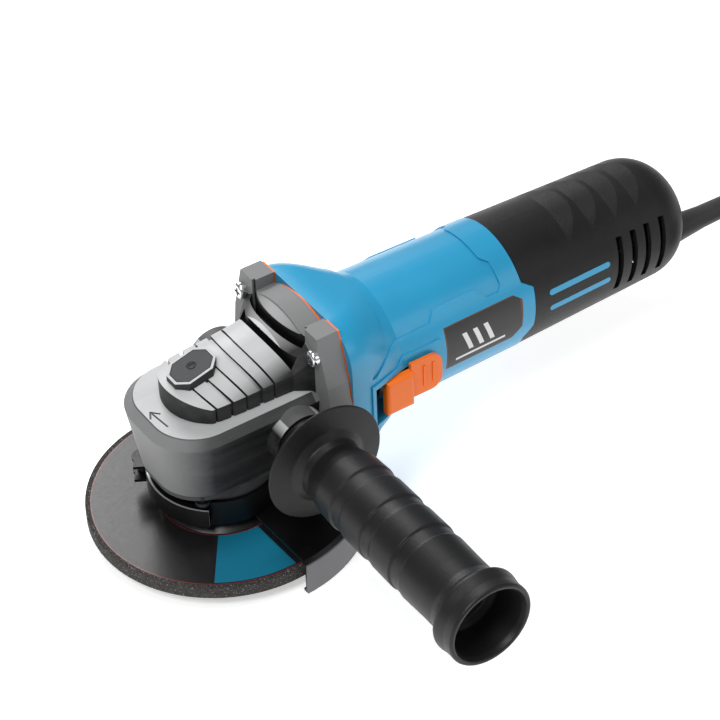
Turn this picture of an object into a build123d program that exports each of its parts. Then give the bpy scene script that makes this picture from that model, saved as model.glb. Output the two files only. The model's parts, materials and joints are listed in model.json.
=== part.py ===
"""Corded angle grinder with a 125 mm depressed-centre wheel.

Frame: millimetres, +Z up along the spindle, +X towards the cord, -Y the side of the
handle and the switch.  The origin is the centre of the spindle's free end face.
"""
from build123d import *
import math
import os

# ---------------------------------------------------------------- spindle and wheel
WHEEL_DIAMETER = 125.0
WHEEL_THICKNESS = 6.0
WHEEL_BORE = 22.23
HUB_RISE = 4.6
HUB_FLAT_RADIUS = 22.0
HUB_SLOPE_RADIUS = 28.0
BUSH_WALL = 0.9
SPINDLE_RADIUS = 7.94
FREE_THREAD = 3.1
NUT_THICKNESS = 6.5
CLAMP_RADIUS = 21.0
CLAMP_PILOT = 2.6
FLANGE_THICKNESS = 5.0
COLLAR_HEIGHT = 3.4
COLLAR_RADIUS = 10.5
SEAT_RADIUS = 7.5
SPINDLE_BEARING = (15.0, 35.0, 11.0)
LOCK_RADIUS = 12.2
FIT_CLEARANCE = 0.05
LOOSE_CLEARANCE = 0.3

# ---------------------------------------------------------------- gear pair
MOTOR_Z = 62.5
WHEEL_TEETH = 37
PINION_TEETH = 11
PITCH_RADIUS = 19.5
GEAR_FACE = 5.5
ADDENDUM = 0.8
DEDENDUM = 1.15
TOOTH_SHARE = 0.34
GEAR_HUB_RADIUS = 9.5
GEAR_WEB = 4.0

# ---------------------------------------------------------------- gear housing
HEAD_BOTTOM_Z = 38.0
HEAD_WALL_TOP_Z = 69.0
HEAD_LEDGE_Z = 73.0
HEAD_HALF_WIDTH = 31.0
HEAD_NOSE = 38.0
HEAD_DRAFT = 4.5
LEDGE_INSET = 3.4
NOSE_CORNER = 24.0
GEAR_ROOM_RADIUS = 24.0
GEAR_ROOM_TOP_Z = 70.5
FLANGE_X = 36.0
FLANGE_DEPTH = 10.8
FLANGE_RADIUS = 40.5
LUG_HALF = 31.0
LUG_REACH = 41.0
LUG_INNER = 20.3
HEAD_SCREW_Y = 29.5
HEAD_SCREW_DZ = 30.5
BAFFLE_PLATE = 1.2
BAFFLE_INSET = 0.7
SHOULDER_BORE = 31.0
BRACKET_THICKNESS = 4.0
HANDLE_X = 22.6
HANDLE_Z = 57.0
BOSS_RADIUS = 14.0
BOSS_REACH = 38.0
HANDLE_THREAD_RADIUS = 4.25
HANDLE_THREAD_DEPTH = 14.0
TOP_BUSH = (4.0, 6.0, 9.0)
PAD_END_X = 28.0
PAD_CURVE = 48.0
GROOVE_DEPTH = 1.2
CROWN_NOSE_RADIUS = 24.5
SLOT_HALF_SPAN = 21.5
BUTTON_TILT = 15.0
BUTTON_LENGTH = 19.0
BUTTON_WIDTH = 14.0
BUTTON_CORNER = 4.0
BUTTON_X = -9.6
BUTTON_Z = 90.8
BUTTON_THICKNESS = 2.6
LOCK_TRAVEL = 4.0
LOCK_PIN_RADIUS = 2.2
LOCK_SPRING = (75.5, 83.0)

# ---------------------------------------------------------------- neck and guard
NECK_RADIUS = 26.5
NECK_BOTTOM_Z = 21.4
COVER_PLATE = 4.0
GUARD_TOP_Z = 17.0
GUARD_SHEET = 1.5
GUARD_RADIUS = 67.5
GUARD_SKIRT = 18.5
GUARD_SPAN = 176.0
BAND_WALL = 1.8
BAND_TOP_Z = 30.5
CLAMP_ANGLE = 122.0
CLAMP_BOLT_REACH = 8.0
CLAMP_Z = 24.5

# ---------------------------------------------------------------- motor housing
BODY_START_X = 48.0
TUBE_START_X = 80.0
BODY_SPLIT_X = 149.0
TAIL_LENGTH = 107.5
TAIL_CAP_DEPTH = 24.5
FRONT_RADIUS = 32.7
SPLIT_RADIUS = 31.5
TAIL_RADIUS = 29.8
CAP_RADIUS = 48.0
RELIEF_DEPTH = 14.5
CORD_CLAMP_DEPTH = 20.0
PANEL_RAISE = 0.8
SCALLOPS = (75.5, 61.2, 47.5, 34.0)
VENTS = (51.1, 42.6, 34.3, 25.3)
STRIPE_MIDDLE = 75.5
SCALLOP_DEPTH = 1.2
SCALLOP_DROP = 6.4
SCALLOP_RUN = 12.0
SHELL_WALL = 2.6
STATOR_RADIUS = 28.5
STATOR_BORE = 17.4
STATOR_X = 70.0
STATOR_LENGTH = 42.0
AIR_GAP = 0.6
FAN_X = 50.0
FAN_RADIUS = 28.5
FAN_LENGTH = 10.0
COMMUTATOR_X = 128.0
COMMUTATOR_LENGTH = 16.0
COMMUTATOR_RADIUS = 11.0
FRONT_BEARING = (12.0, 28.0, 8.0)
REAR_BEARING = (8.0, 22.0, 7.0)
FRONT_BEARING_X = 34.0
REAR_BEARING_X = 150.0

# ---------------------------------------------------------------- side handle
HANDLE_RIM_RADIUS = 29.0
HANDLE_RIM_Y = -54.7
GRIP_RADIUS = 17.0
GRIP_END_Y = -176.7

# ---------------------------------------------------------------- cord
CORD_DIAMETER = 8.0
FLOOR_Z = GUARD_TOP_Z - GUARD_SKIRT
CORD_EXIT_DZ = -20.0
RELIEF_END_X = 312.0
COIL_CENTRE = (352.0, -72.0)
COIL_INNER = 36.0
COIL_TURNS_WIDE = 2
COIL_LAYERS = 4
PLUG_PLACE = (356.2, -118.4)
PLUG_TURN = 195.0
CORD_ROUTE = [
    (312, 0, 42.5),
    (330, 0, 42.5),
    (360, 0, 36.5),
    (378.3, -7.6, 26.5),
    (392.4, -21.7, 14.5),
    (400, -40, 5.5),
    (400, -60, 2.5),
    (400, -72, 2.5),
]

# ---------------------------------------------------------------- derived places
NUT_Z = FREE_THREAD
HUB_BOTTOM_Z = NUT_Z + NUT_THICKNESS
HUB_TOP_Z = HUB_BOTTOM_Z + WHEEL_THICKNESS
RIM_TOP_Z = HUB_TOP_Z - HUB_RISE
SEAT_Z = HUB_TOP_Z + FLANGE_THICKNESS
BEARING_Z = SEAT_Z + COLLAR_HEIGHT
BEARING_TOP_Z = BEARING_Z + SPINDLE_BEARING[2]
CONE_SLOPE = PINION_TEETH / WHEEL_TEETH
FLANGE_END_X = FLANGE_X + FLANGE_DEPTH
CORD_Z = MOTOR_Z + CORD_EXIT_DZ
TAIL_END_X = BODY_SPLIT_X + TAIL_LENGTH
TAIL_BEND_X = TAIL_END_X - TAIL_CAP_DEPTH
RELIEF_START_X = TAIL_END_X - RELIEF_DEPTH
CORD_CLAMP_X = TAIL_END_X - CORD_CLAMP_DEPTH
CLAMP_BOLT_R = NECK_RADIUS + CLAMP_BOLT_REACH
BAND_RADIUS = NECK_RADIUS + 1.6 * FIT_CLEARANCE
LOCK_X = -LOCK_RADIUS

NODES = {}


def keep(name, shape):
    """Remember a finished piece under its node name."""
    NODES[name] = shape


# ---------------------------------------------------------------- shape helpers
def z_turn(points, arc=360.0):
    """Solid of revolution about the spindle from (radius, z) points."""
    face = make_face(Plane.XZ * Polyline(*points, close=True))
    return revolve(face, axis=Axis.Z, revolution_arc=arc)


def x_turn(points, y=0.0, z=MOTOR_Z):
    """Solid of revolution about a line along X from (x, radius) points."""
    face = make_face(Plane.XZ * Polyline(*points, close=True))
    return Pos(0, y, z) * revolve(face, axis=Axis.X)


def y_turn(points, x, z):
    """Solid of revolution about a line along Y from (y, radius) points."""
    face = make_face(Polyline(*[(radius, y) for y, radius in points], close=True))
    return Pos(x, 0, z) * revolve(face, axis=Axis.Y)


def x_rod(radius, x0, x1, y=0.0, z=MOTOR_Z):
    """Cylinder along X."""
    return Pos((x0 + x1) / 2, y, z) * Rot(0, 90, 0) * Cylinder(radius, abs(x1 - x0))


def y_rod(radius, y0, y1, x, z):
    """Cylinder along Y."""
    return Pos(x, (y0 + y1) / 2, z) * Rot(90, 0, 0) * Cylinder(radius, abs(y1 - y0))


def z_rod(radius, z0, z1, x=0.0, y=0.0):
    """Cylinder along Z."""
    return Pos(x, y, (z0 + z1) / 2) * Cylinder(radius, abs(z1 - z0))


def block(x0, x1, y0, y1, z0, z1):
    """Box between two corners."""
    centre = Pos((x0 + x1) / 2, (y0 + y1) / 2, (z0 + z1) / 2)
    return centre * Box(abs(x1 - x0), abs(y1 - y0), abs(z1 - z0))


def ring_sector(r_in, r_out, z0, z1, a0, a1):
    """Part of a flat ring about the spindle between two angles in degrees."""
    face = make_face(Plane.XZ * Polyline((r_in, z0), (r_out, z0), (r_out, z1), (r_in, z1), close=True))
    return Rot(0, 0, a0) * revolve(face, axis=Axis.Z, revolution_arc=a1 - a0)


def both_sides(shape):
    """A shape and its mirror image across the XZ plane."""
    return shape + mirror(shape, about=Plane.XZ)


def pan_screw(length, shank, head, head_height):
    """Cross-recessed pan-head screw along +Z: the head's seat is at z = 0, the shank below it."""
    head_solid = fillet(Cylinder(head, head_height, align=(Align.CENTER, Align.CENTER, Align.MIN)).edges()
                        .group_by(Axis.Z)[-1], head_height * 0.45)
    recess = Pos(0, 0, head_height) * (Box(head * 1.1, head * 0.3, head_height * 0.9)
                                       + Box(head * 0.3, head * 1.1, head_height * 0.9))
    return head_solid - recess + Cylinder(shank, length, align=(Align.CENTER, Align.CENTER, Align.MAX))


# ---------------------------------------------------------------- bearings
def bearing_parts(size, balls):
    """Outer ring with shields, inner ring and balls of a ball bearing standing on z = 0."""
    bore, outside, width = size
    r_in, r_out = bore / 2, outside / 2
    third = (r_out - r_in) / 3
    mid = (r_in + r_out) / 2
    ball_r = third * 0.72
    outer = z_turn([(r_out - third, 0), (r_out, 0), (r_out, width), (r_out - third, width)])
    inner = z_turn([(r_in, 0), (r_in + third, 0), (r_in + third, width), (r_in, width)])
    race = Pos(0, 0, width / 2) * Torus(mid, ball_r + FIT_CLEARANCE)
    shield = z_turn([(r_in + third + LOOSE_CLEARANCE, 0.3), (r_out - third, 0.3),
                     (r_out - third, 0.8), (r_in + third + LOOSE_CLEARANCE, 0.8)])
    outer = (outer - race) + shield
    inner = inner - race
    row = [Rot(0, 0, 360 / balls * i) * Pos(mid, 0, width / 2) * Sphere(ball_r) for i in range(balls)]
    return outer, inner, row


def make_spindle_bearing():
    outer, inner, balls = bearing_parts(SPINDLE_BEARING, 9)
    place = Pos(0, 0, BEARING_Z)
    keep("spindle_bearing_outer", place * outer)
    keep("spindle_bearing_inner", place * inner)
    keep("spindle_bearing_balls", Compound(children=[place * ball for ball in balls]))


def make_motor_bearings():
    for label, size, x in (("front", FRONT_BEARING, FRONT_BEARING_X), ("rear", REAR_BEARING, REAR_BEARING_X)):
        outer, inner, balls = bearing_parts(size, 8)
        place = Pos(x, 0, MOTOR_Z) * Rot(0, 90, 0)
        keep(label + "_bearing_outer", place * outer)
        keep(label + "_bearing_inner", place * inner)


# ---------------------------------------------------------------- gears
def bevel_tooth(teeth, cone_angle, out_radius, in_radius):
    """One straight tooth of a bevel gear with its apex at the origin and its axis along +Z.

    The tooth is a wedge that shrinks towards the apex; cone_angle is the pitch half angle.
    """
    sections = []
    for radius in (out_radius, in_radius):
        scale = radius / out_radius
        slant = radius / math.sin(cone_angle)
        pitch = 2 * math.pi * radius / teeth
        half_foot = 0.5 * pitch * TOOTH_SHARE * 1.35
        half_tip = 0.5 * pitch * TOOTH_SHARE * 0.55
        along = Vector(math.sin(cone_angle), 0, math.cos(cone_angle)) * slant
        up = Vector(math.cos(cone_angle), 0, -math.sin(cone_angle))
        foot = along - up * ((DEDENDUM + 0.4) * scale)
        tip = along + up * (ADDENDUM * scale)
        side = Vector(0, 1, 0)
        corners = [foot - side * half_foot, foot + side * half_foot, tip + side * half_tip, tip - side * half_tip]
        sections.append(make_face(Polyline(*corners, close=True)))
    return loft(sections, ruled=True)


def bevel_body(cone_angle, out_radius, in_radius, back):
    """Blank of a bevel gear under its teeth: a cone band with a flat back."""
    up_r, up_z = math.cos(cone_angle), -math.sin(cone_angle)
    drop = DEDENDUM
    outer = (out_radius - up_r * drop, out_radius / math.tan(cone_angle) - up_z * drop)
    share = in_radius / out_radius
    inner = (outer[0] * share, outer[1] * share)
    return outer, inner, back


def make_crown_gear():
    angle = math.atan(WHEEL_TEETH / PINION_TEETH)
    out_r = PITCH_RADIUS + GEAR_FACE / 2 - 1.2
    in_r = out_r - GEAR_FACE
    outer, inner, _ = bevel_body(angle, out_r, in_r, 0)
    web_z = outer[1] + GEAR_WEB
    hub_z = MOTOR_Z - BEARING_TOP_Z - 0.8
    blank = z_turn([(SEAT_RADIUS, inner[1] + 1.5), (GEAR_HUB_RADIUS - 1.0, inner[1] + 1.5), (inner[0], inner[1]),
                    (outer[0], outer[1]), (outer[0], web_z), (GEAR_HUB_RADIUS, web_z),
                    (GEAR_HUB_RADIUS, hub_z), (SEAT_RADIUS, hub_z)])
    tooth = bevel_tooth(WHEEL_TEETH, angle, out_r, in_r)
    row = [Rot(0, 0, 360 / WHEEL_TEETH * (i + 0.5)) * tooth for i in range(WHEEL_TEETH)]
    gear = blank.fuse(*row) if isinstance(blank, Solid) else Part() + blank + row
    holes = [Rot(0, 0, 90 * i) * z_rod(LOCK_PIN_RADIUS + 0.5, inner[1] - 3, web_z + 1, LOCK_RADIUS) for i in range(4)]
    gear = gear - holes
    keep("crown_gear", Pos(0, 0, MOTOR_Z) * Rot(180, 0, 0) * gear)


def make_pinion():
    angle = math.atan(CONE_SLOPE)
    out_r = (PITCH_RADIUS + GEAR_FACE / 2 - 1.2) * CONE_SLOPE
    in_r = out_r - GEAR_FACE * CONE_SLOPE
    outer, inner, _ = bevel_body(angle, out_r, in_r, 0)
    back = outer[1] + 2.4
    blank = z_turn([(2.9, inner[1]), (inner[0], inner[1]), (outer[0], outer[1]), (outer[0], back), (2.9, back)])
    tooth = bevel_tooth(PINION_TEETH, angle, out_r, in_r)
    row = [Rot(0, 0, 360 / PINION_TEETH * i) * tooth for i in range(PINION_TEETH)]
    gear = Part() + blank + row
    keep("pinion", Pos(0, 0, MOTOR_Z) * Rot(0, 90, 0) * gear)


# ---------------------------------------------------------------- spindle group
def make_spindle():
    top_z = GEAR_ROOM_TOP_Z + TOP_BUSH[2] - 0.5
    bush_r = TOP_BUSH[0] - FIT_CLEARANCE
    groove_r, groove_z = SPINDLE_RADIUS - 0.4, FREE_THREAD + 0.8
    shaft = z_turn([(0, 0), (SPINDLE_RADIUS, 0), (SPINDLE_RADIUS, FREE_THREAD), (groove_r, FREE_THREAD),
                    (groove_r, groove_z), (SPINDLE_RADIUS, groove_z), (SPINDLE_RADIUS, SEAT_Z),
                    (COLLAR_RADIUS, SEAT_Z), (COLLAR_RADIUS, BEARING_Z), (SEAT_RADIUS, BEARING_Z),
                    (SEAT_RADIUS, MOTOR_Z - 6.2), (6.0, MOTOR_Z - 5.2), (6.0, GEAR_ROOM_TOP_Z - 1.2),
                    (bush_r, GEAR_ROOM_TOP_Z - 1.2), (bush_r, top_z), (0, top_z)])
    keep("spindle", shaft)


def make_clamping():
    bore_r = WHEEL_BORE / 2
    pilot_r = bore_r - FIT_CLEARANCE
    hole = SPINDLE_RADIUS + FIT_CLEARANCE
    inner_flange = z_turn([(hole, HUB_TOP_Z - CLAMP_PILOT), (pilot_r, HUB_TOP_Z - CLAMP_PILOT), (pilot_r, HUB_TOP_Z),
                           (CLAMP_RADIUS - 5, HUB_TOP_Z + 0.6), (CLAMP_RADIUS - 5, HUB_TOP_Z), (CLAMP_RADIUS, HUB_TOP_Z),
                           (CLAMP_RADIUS, SEAT_Z - 2), (CLAMP_RADIUS - 4, SEAT_Z), (hole, SEAT_Z)])
    keep("inner_flange", inner_flange)
    nut = z_turn([(hole, NUT_Z), (CLAMP_RADIUS - 5, NUT_Z), (CLAMP_RADIUS, NUT_Z + 2), (CLAMP_RADIUS, HUB_BOTTOM_Z),
                  (CLAMP_RADIUS - 5, HUB_BOTTOM_Z), (CLAMP_RADIUS - 5, HUB_BOTTOM_Z - 0.6), (pilot_r, HUB_BOTTOM_Z - 0.6),
                  (pilot_r, HUB_BOTTOM_Z + CLAMP_PILOT), (hole, HUB_BOTTOM_Z + CLAMP_PILOT)])
    spanner_holes = [Rot(0, 0, 90 * i) * z_rod(2.5, NUT_Z - 1, NUT_Z + 4, 15.0) for i in range(4)]
    keep("wheel_nut", nut - spanner_holes)


def make_wheel():
    bore_r = WHEEL_BORE / 2 + BUSH_WALL
    rim = WHEEL_DIAMETER / 2
    drop = WHEEL_THICKNESS
    wheel = z_turn([(bore_r, HUB_BOTTOM_Z), (HUB_FLAT_RADIUS + 2, HUB_BOTTOM_Z), (HUB_SLOPE_RADIUS + 2, RIM_TOP_Z - drop),
                    (rim, RIM_TOP_Z - drop), (rim, RIM_TOP_Z), (HUB_SLOPE_RADIUS, RIM_TOP_Z),
                    (HUB_FLAT_RADIUS, HUB_TOP_Z), (bore_r, HUB_TOP_Z)])
    keep("grinding_wheel", wheel)
    keep("wheel_bush", z_turn([(WHEEL_BORE / 2, HUB_BOTTOM_Z), (bore_r, HUB_BOTTOM_Z),
                               (bore_r, HUB_TOP_Z), (WHEEL_BORE / 2, HUB_TOP_Z)]))


# ---------------------------------------------------------------- gear housing
def head_plan(z, half_width, nose, corner):
    """Plan of the gear head at one height: a rectangle with two large nose corners."""
    width = nose + FLANGE_X + 1
    face = Pos((FLANGE_X + 1 - nose) / 2, 0, z) * Rectangle(width, 2 * half_width)
    return fillet(face.vertices().group_by(Axis.X)[0], corner)


def crown_section(x, half_width, edge_z, crown_z):
    """Upright section of the arched top at one station along X."""
    base = HEAD_LEDGE_Z - 4
    line = Polyline((x, half_width, edge_z), (x, half_width, base), (x, -half_width, base), (x, -half_width, edge_z))
    arc = ThreePointArc((x, -half_width, edge_z), (x, 0, crown_z), (x, half_width, edge_z))
    return make_face(line + arc)


def flange_face(x):
    """Outline of the clamping flange: a rounded square with four screw lugs."""
    side = [(LUG_REACH, LUG_HALF), (LUG_REACH * 0.42, LUG_HALF * 1.23), (0, FLANGE_RADIUS)]
    quarter = [(y, z) for z, y in side]
    right = quarter + [(y, -z) for y, z in reversed(quarter[:-1])]
    left = [(-y, z) for y, z in reversed(right)]
    outline = make_face(Polyline(*(right + left), close=True))
    notch = Rectangle(2 * LUG_INNER, 2.4 * LUG_REACH) - Circle(FLANGE_RADIUS)
    plane = Plane(origin=(x, 0, MOTOR_Z), x_dir=(0, 1, 0), z_dir=(1, 0, 0))
    return plane * (outline - notch)


def crown_sections(inset):
    """Sections of the arched top of the gear head, sunk by an inset."""
    sizes = [(-24, 18.0, 80.0, 84.5), (-4, 21.5, 81.0, 88.8), (14, 22.2, 81.5, 92.6), (PAD_END_X, 22.8, 82.0, 95.2)]
    return [crown_section(x, half - inset, edge - inset, top - inset) for x, half, edge, top in sizes]


def pad_ring(x, width):
    """Upright ring that crosses the crown in a shallow arc; x is where it crosses the middle."""
    ring = z_rod(PAD_CURVE, HEAD_LEDGE_Z - 8, 115) - z_rod(PAD_CURVE - width, HEAD_LEDGE_Z - 9, 116)
    return Pos(x + PAD_CURVE, 0, 0) * ring


def head_top():
    """Arched top of the gear head with a rounded nose, cut into pads by curved grooves."""
    arch = loft(crown_sections(0.0))
    arch = arch & (z_rod(CROWN_NOSE_RADIUS, 0, 120, CROWN_NOSE_RADIUS - 23.5) + block(1, 60, -60, 60, 0, 120))
    skin = block(-24, PAD_END_X, -40, 40, HEAD_LEDGE_Z, 110) - loft(crown_sections(GROOVE_DEPTH))
    for x, width in ((-15.6, 0.9), (-8.8, 1.6), (-1.2, 0.9), (5.4, 2.0), (12.6, 0.9)):
        arch -= pad_ring(x, width) & skin
    return arch


def air_slots():
    """Two arched pockets across the slope between the last pad and the flange."""
    across = block(0, FLANGE_X + 1, -SLOT_HALF_SPAN, SLOT_HALF_SPAN, HEAD_LEDGE_Z, 120)
    first = (pad_ring(22.8, 3.0) & across) - x_rod(25.6, 0, 60)
    second = (pad_ring(29.0, 3.2) & across) - x_rod(29.6, 0, 60)
    return [first, second]


def lock_pocket(offset, depth):
    """Stadium-shaped body under the lock button, tilted with the arched top."""
    face = Rectangle(BUTTON_LENGTH + 2 * offset, BUTTON_WIDTH + 2 * offset)
    face = chamfer(face.vertices(), BUTTON_CORNER + offset * 0.6)
    face = Pos(BUTTON_X, 0, BUTTON_Z) * Rot(0, -BUTTON_TILT, 0) * face
    return extrude(face, depth, dir=(0, 0, -1))


def make_gear_housing():
    low = head_plan(HEAD_BOTTOM_Z, HEAD_HALF_WIDTH - HEAD_DRAFT, HEAD_NOSE - HEAD_DRAFT, NOSE_CORNER - 3)
    mid = head_plan(HEAD_WALL_TOP_Z, HEAD_HALF_WIDTH, HEAD_NOSE, NOSE_CORNER)
    ledge = head_plan(HEAD_LEDGE_Z, HEAD_HALF_WIDTH - LEDGE_INSET, HEAD_NOSE - LEDGE_INSET - 1, NOSE_CORNER - 3)
    body = loft([low, mid], ruled=True) + loft([mid, ledge], ruled=True)
    body += head_top()
    rear = [crown_section(PAD_END_X, 22.8, 82.0, 95.2),
            crown_section(FLANGE_X + 0.5, 29.0, 91.0, MOTOR_Z + FLANGE_RADIUS - 0.4)]
    body += loft(rear, ruled=True)
    body += extrude(flange_face(FLANGE_X), FLANGE_DEPTH)
    for side in (-1, 1):
        body += y_rod(BOSS_RADIUS, side * 20, side * BOSS_REACH, HANDLE_X, HANDLE_Z)
        body -= y_rod(HANDLE_THREAD_RADIUS, side * (BOSS_REACH - HANDLE_THREAD_DEPTH), side * (BOSS_REACH + 1),
                      HANDLE_X, HANDLE_Z)
    body += lock_pocket(1.6, 12.0)
    body -= z_rod(GEAR_ROOM_RADIUS, HEAD_BOTTOM_Z - 1, GEAR_ROOM_TOP_Z)
    body -= z_rod(TOP_BUSH[1], GEAR_ROOM_TOP_Z - 1, GEAR_ROOM_TOP_Z + TOP_BUSH[2])
    body -= x_rod(FRONT_BEARING[1] / 2 + 3.2, 20, FLANGE_END_X + 1)
    body -= x_rod(SHOULDER_BORE, FLANGE_END_X - 2.8 - BRACKET_THICKNESS, FLANGE_END_X + 1)
    body -= Pos(0, 0, 2) * lock_pocket(0.35, BUTTON_THICKNESS + LOCK_TRAVEL + 2.4)
    body -= z_rod(LOCK_PIN_RADIUS + FIT_CLEARANCE, GEAR_ROOM_TOP_Z - 1, 90, LOCK_X)
    body -= z_rod(LOCK_PIN_RADIUS + 1.6, LOCK_SPRING[0], 90, LOCK_X)
    for slot in air_slots():
        body -= slot
    for y in (-HEAD_SCREW_Y, HEAD_SCREW_Y):
        for dz in (-HEAD_SCREW_DZ, HEAD_SCREW_DZ):
            body -= x_rod(2.2, FLANGE_X - 4, FLANGE_END_X + 1, y, MOTOR_Z + dz)
            body -= x_rod(4.3, FLANGE_X - 5, FLANGE_X, y, MOTOR_Z + dz)
    for x, y in cover_screw_places():
        body -= z_rod(1.9, HEAD_BOTTOM_Z - 1, HEAD_BOTTOM_Z + 10, x, y)
    keep("gear_housing", body - arrow_mark())


def arrow_mark():
    """Shallow engraved arrow on the nose ledge that shows which way the wheel turns."""
    stroke = Box(0.9, 13, 0.8)
    barb = Pos(0, 2.2, 0) * Box(0.9, 5, 0.8)
    tip = Pos(0, 6.3, 0) * (Rot(0, 0, 145) * barb + Rot(0, 0, -145) * barb)
    return Pos(-30.0, -4, HEAD_LEDGE_Z) * Rot(0, 0, 6) * (stroke + tip)


def cover_screw_places():
    return [(x, y) for x in (-21.5, 21.5) for y in (-21.5, 21.5)]


def make_spindle_cover():
    plan = head_plan(HEAD_BOTTOM_Z - COVER_PLATE, HEAD_HALF_WIDTH - HEAD_DRAFT - 0.5, HEAD_NOSE - HEAD_DRAFT - 0.5,
                     NOSE_CORNER - 3)
    plate = extrude(plan, COVER_PLATE) & block(-60, 34.5, -60, 60, 0, 80)
    plate = chamfer(plate.edges().group_by(Axis.Z)[0], 1.0)
    cover = plate + z_rod(NECK_RADIUS, NECK_BOTTOM_Z, HEAD_BOTTOM_Z - 1) + z_rod(
        GEAR_ROOM_RADIUS - FIT_CLEARANCE, HEAD_BOTTOM_Z - 1, HEAD_BOTTOM_Z + 2)
    cover -= z_rod(SPINDLE_BEARING[1] / 2, BEARING_Z, HEAD_BOTTOM_Z + 3)
    cover -= z_rod(COLLAR_RADIUS + 1.2, NECK_BOTTOM_Z - 1, BEARING_Z + 1)
    for x, y in cover_screw_places():
        cover -= z_rod(2.1, HEAD_BOTTOM_Z - COVER_PLATE - 1, HEAD_BOTTOM_Z + 3, x, y)
    keep("spindle_cover", cover)
    screw = pan_screw(13.5, 1.9, 3.5, 2.6)
    seat = HEAD_BOTTOM_Z - COVER_PLATE
    screws = [Pos(x, y, seat) * Rot(180, 0, 0) * screw for x, y in cover_screw_places()]
    keep("spindle_cover_screws", Compound(children=screws))


def make_top_bush():
    inner, outer, length = TOP_BUSH
    keep("top_bush", z_turn([(inner, GEAR_ROOM_TOP_Z), (outer, GEAR_ROOM_TOP_Z),
                             (outer, GEAR_ROOM_TOP_Z + length), (inner, GEAR_ROOM_TOP_Z + length)]))


def make_head_screws():
    screw = pan_screw(22, 1.9, 4.0, 3.4)
    place = [Pos(FLANGE_X, y, MOTOR_Z + dz) * Rot(0, -90, 0) * screw
             for y in (-HEAD_SCREW_Y, HEAD_SCREW_Y) for dz in (-HEAD_SCREW_DZ, HEAD_SCREW_DZ)]
    keep("gear_housing_screws", Compound(children=place))


def make_bracket():
    """Bearing bracket that closes the gear room towards the motor."""
    x0 = FLANGE_END_X - 2.8 - BRACKET_THICKNESS
    r_b = FRONT_BEARING[1] / 2
    body = x_rod(SHOULDER_BORE - 0.02, x0, x0 + BRACKET_THICKNESS)
    body += x_rod(r_b + 3.1, FRONT_BEARING_X - 3, x0 + 1)
    body -= x_rod(r_b, FRONT_BEARING_X, x0 + BRACKET_THICKNESS + 1)
    body -= x_rod(r_b - 4, FRONT_BEARING_X - 4, FRONT_BEARING_X + 1)
    for angle in range(30, 360, 60):
        body -= Pos(0, 0, MOTOR_Z) * Rot(angle, 0, 0) * Pos(0, 0, 24.5) * x_rod(3.6, x0 - 1, x0 + 5, 0, 0)
    keep("bearing_bracket", body)


# ---------------------------------------------------------------- lock button
def make_spindle_lock():
    low, high = LOCK_SPRING
    stem = z_rod(LOCK_PIN_RADIUS + 1.0, high, BUTTON_Z - 2, LOCK_X)
    dimple = Pos(BUTTON_X, 0, BUTTON_Z) * Rot(0, -BUTTON_TILT, 0) * (Torus(1.9, 0.45) + Cylinder(1.2, 0.8))
    keep("lock_button", lock_pocket(0.0, BUTTON_THICKNESS) + stem - dimple)
    keep("lock_pin", z_rod(LOCK_PIN_RADIUS, MOTOR_Z - 4.5, high, LOCK_X))
    coil = z_rod(LOCK_PIN_RADIUS + 1.3, low, high, LOCK_X) - z_rod(LOCK_PIN_RADIUS + 0.4, low - 1, high + 1, LOCK_X)
    keep("lock_spring", coil)


# ---------------------------------------------------------------- motor housing
def tube_radius(x):
    """Outer radius of the recessed skin of the body at a station."""
    if x <= BODY_SPLIT_X:
        share = (x - TUBE_START_X) / (BODY_SPLIT_X - TUBE_START_X)
        return FRONT_RADIUS + (SPLIT_RADIUS - FRONT_RADIUS) * share
    share = (x - BODY_SPLIT_X) / (TAIL_BEND_X - BODY_SPLIT_X)
    return SPLIT_RADIUS + (TAIL_RADIUS - SPLIT_RADIUS) * share


def body_skin(offset):
    """Blue body grown by an offset: square at the gear head, round from the tube on."""
    bulge = [body_section(BODY_START_X, 39.0, 18.0, offset), body_section(57.0, 38.3, 20.0, offset),
             body_section(68.0, 35.6, 26.0, offset)]
    round_start = body_section(TUBE_START_X, FRONT_RADIUS, FRONT_RADIUS - 0.15, offset)
    round_end = body_section(BODY_SPLIT_X, SPLIT_RADIUS, SPLIT_RADIUS - 0.15, offset)
    return loft(bulge + [round_start]) + loft([round_start, round_end], ruled=True)


def body_section(x, half, corner, offset):
    """Rounded square across the motor axis."""
    plane = Plane(origin=(x, 0, MOTOR_Z), x_dir=(0, 1, 0), z_dir=(1, 0, 0))
    return plane * RectangleRounded(2 * (half + offset), 2 * (half + offset), corner + offset)


def side_face(points):
    """Face in the XZ plane from (x, height above the motor axis) points."""
    return make_face(Plane.XZ * Polyline(*[(x, MOTOR_Z + z) for x, z in points], close=True))


def side_prism(points, y0, y1):
    """Prism along Y from a side outline."""
    return Pos(0, y0, 0) * extrude(side_face(points), y1 - y0, dir=(0, 1, 0))


SEAM = [(74.5, 36), (73.2, 29.4), (70.5, 24.5), (66.7, 20), (60.4, 18.2), (59.2, 11.8), (61.5, 11.5), (68.2, 15.7),
        (76.4, 17.9), (97.7, 18.2), (101.4, 22.1), (125.9, 22.1), (129.5, 17.8), (136.3, 17.8), (138.6, 20.0),
        (138.4, 27.8), (134.8, 29.7), (133.7, 36)]
TAB = [(BODY_SPLIT_X - 3, 17.3), (BODY_SPLIT_X, 17.3), (154.8, 13.5), (153.6, -6.8), (BODY_SPLIT_X, -14.0),
       (BODY_SPLIT_X - 3, -14.0)]
LABEL = [(103.4, 14.2), (142.8, 14.2), (147.6, 10.8), (146.4, -3.6), (141.0, -8.4), (103.0, -8.4)]
BEZEL = [(58.5, 8.2), (76.0, 8.2), (79.0, 11.0), (100.5, 11.0), (100.5, -14.5), (84.0, -14.5), (82.0, -18.5),
         (58.5, -18.5)]
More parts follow.
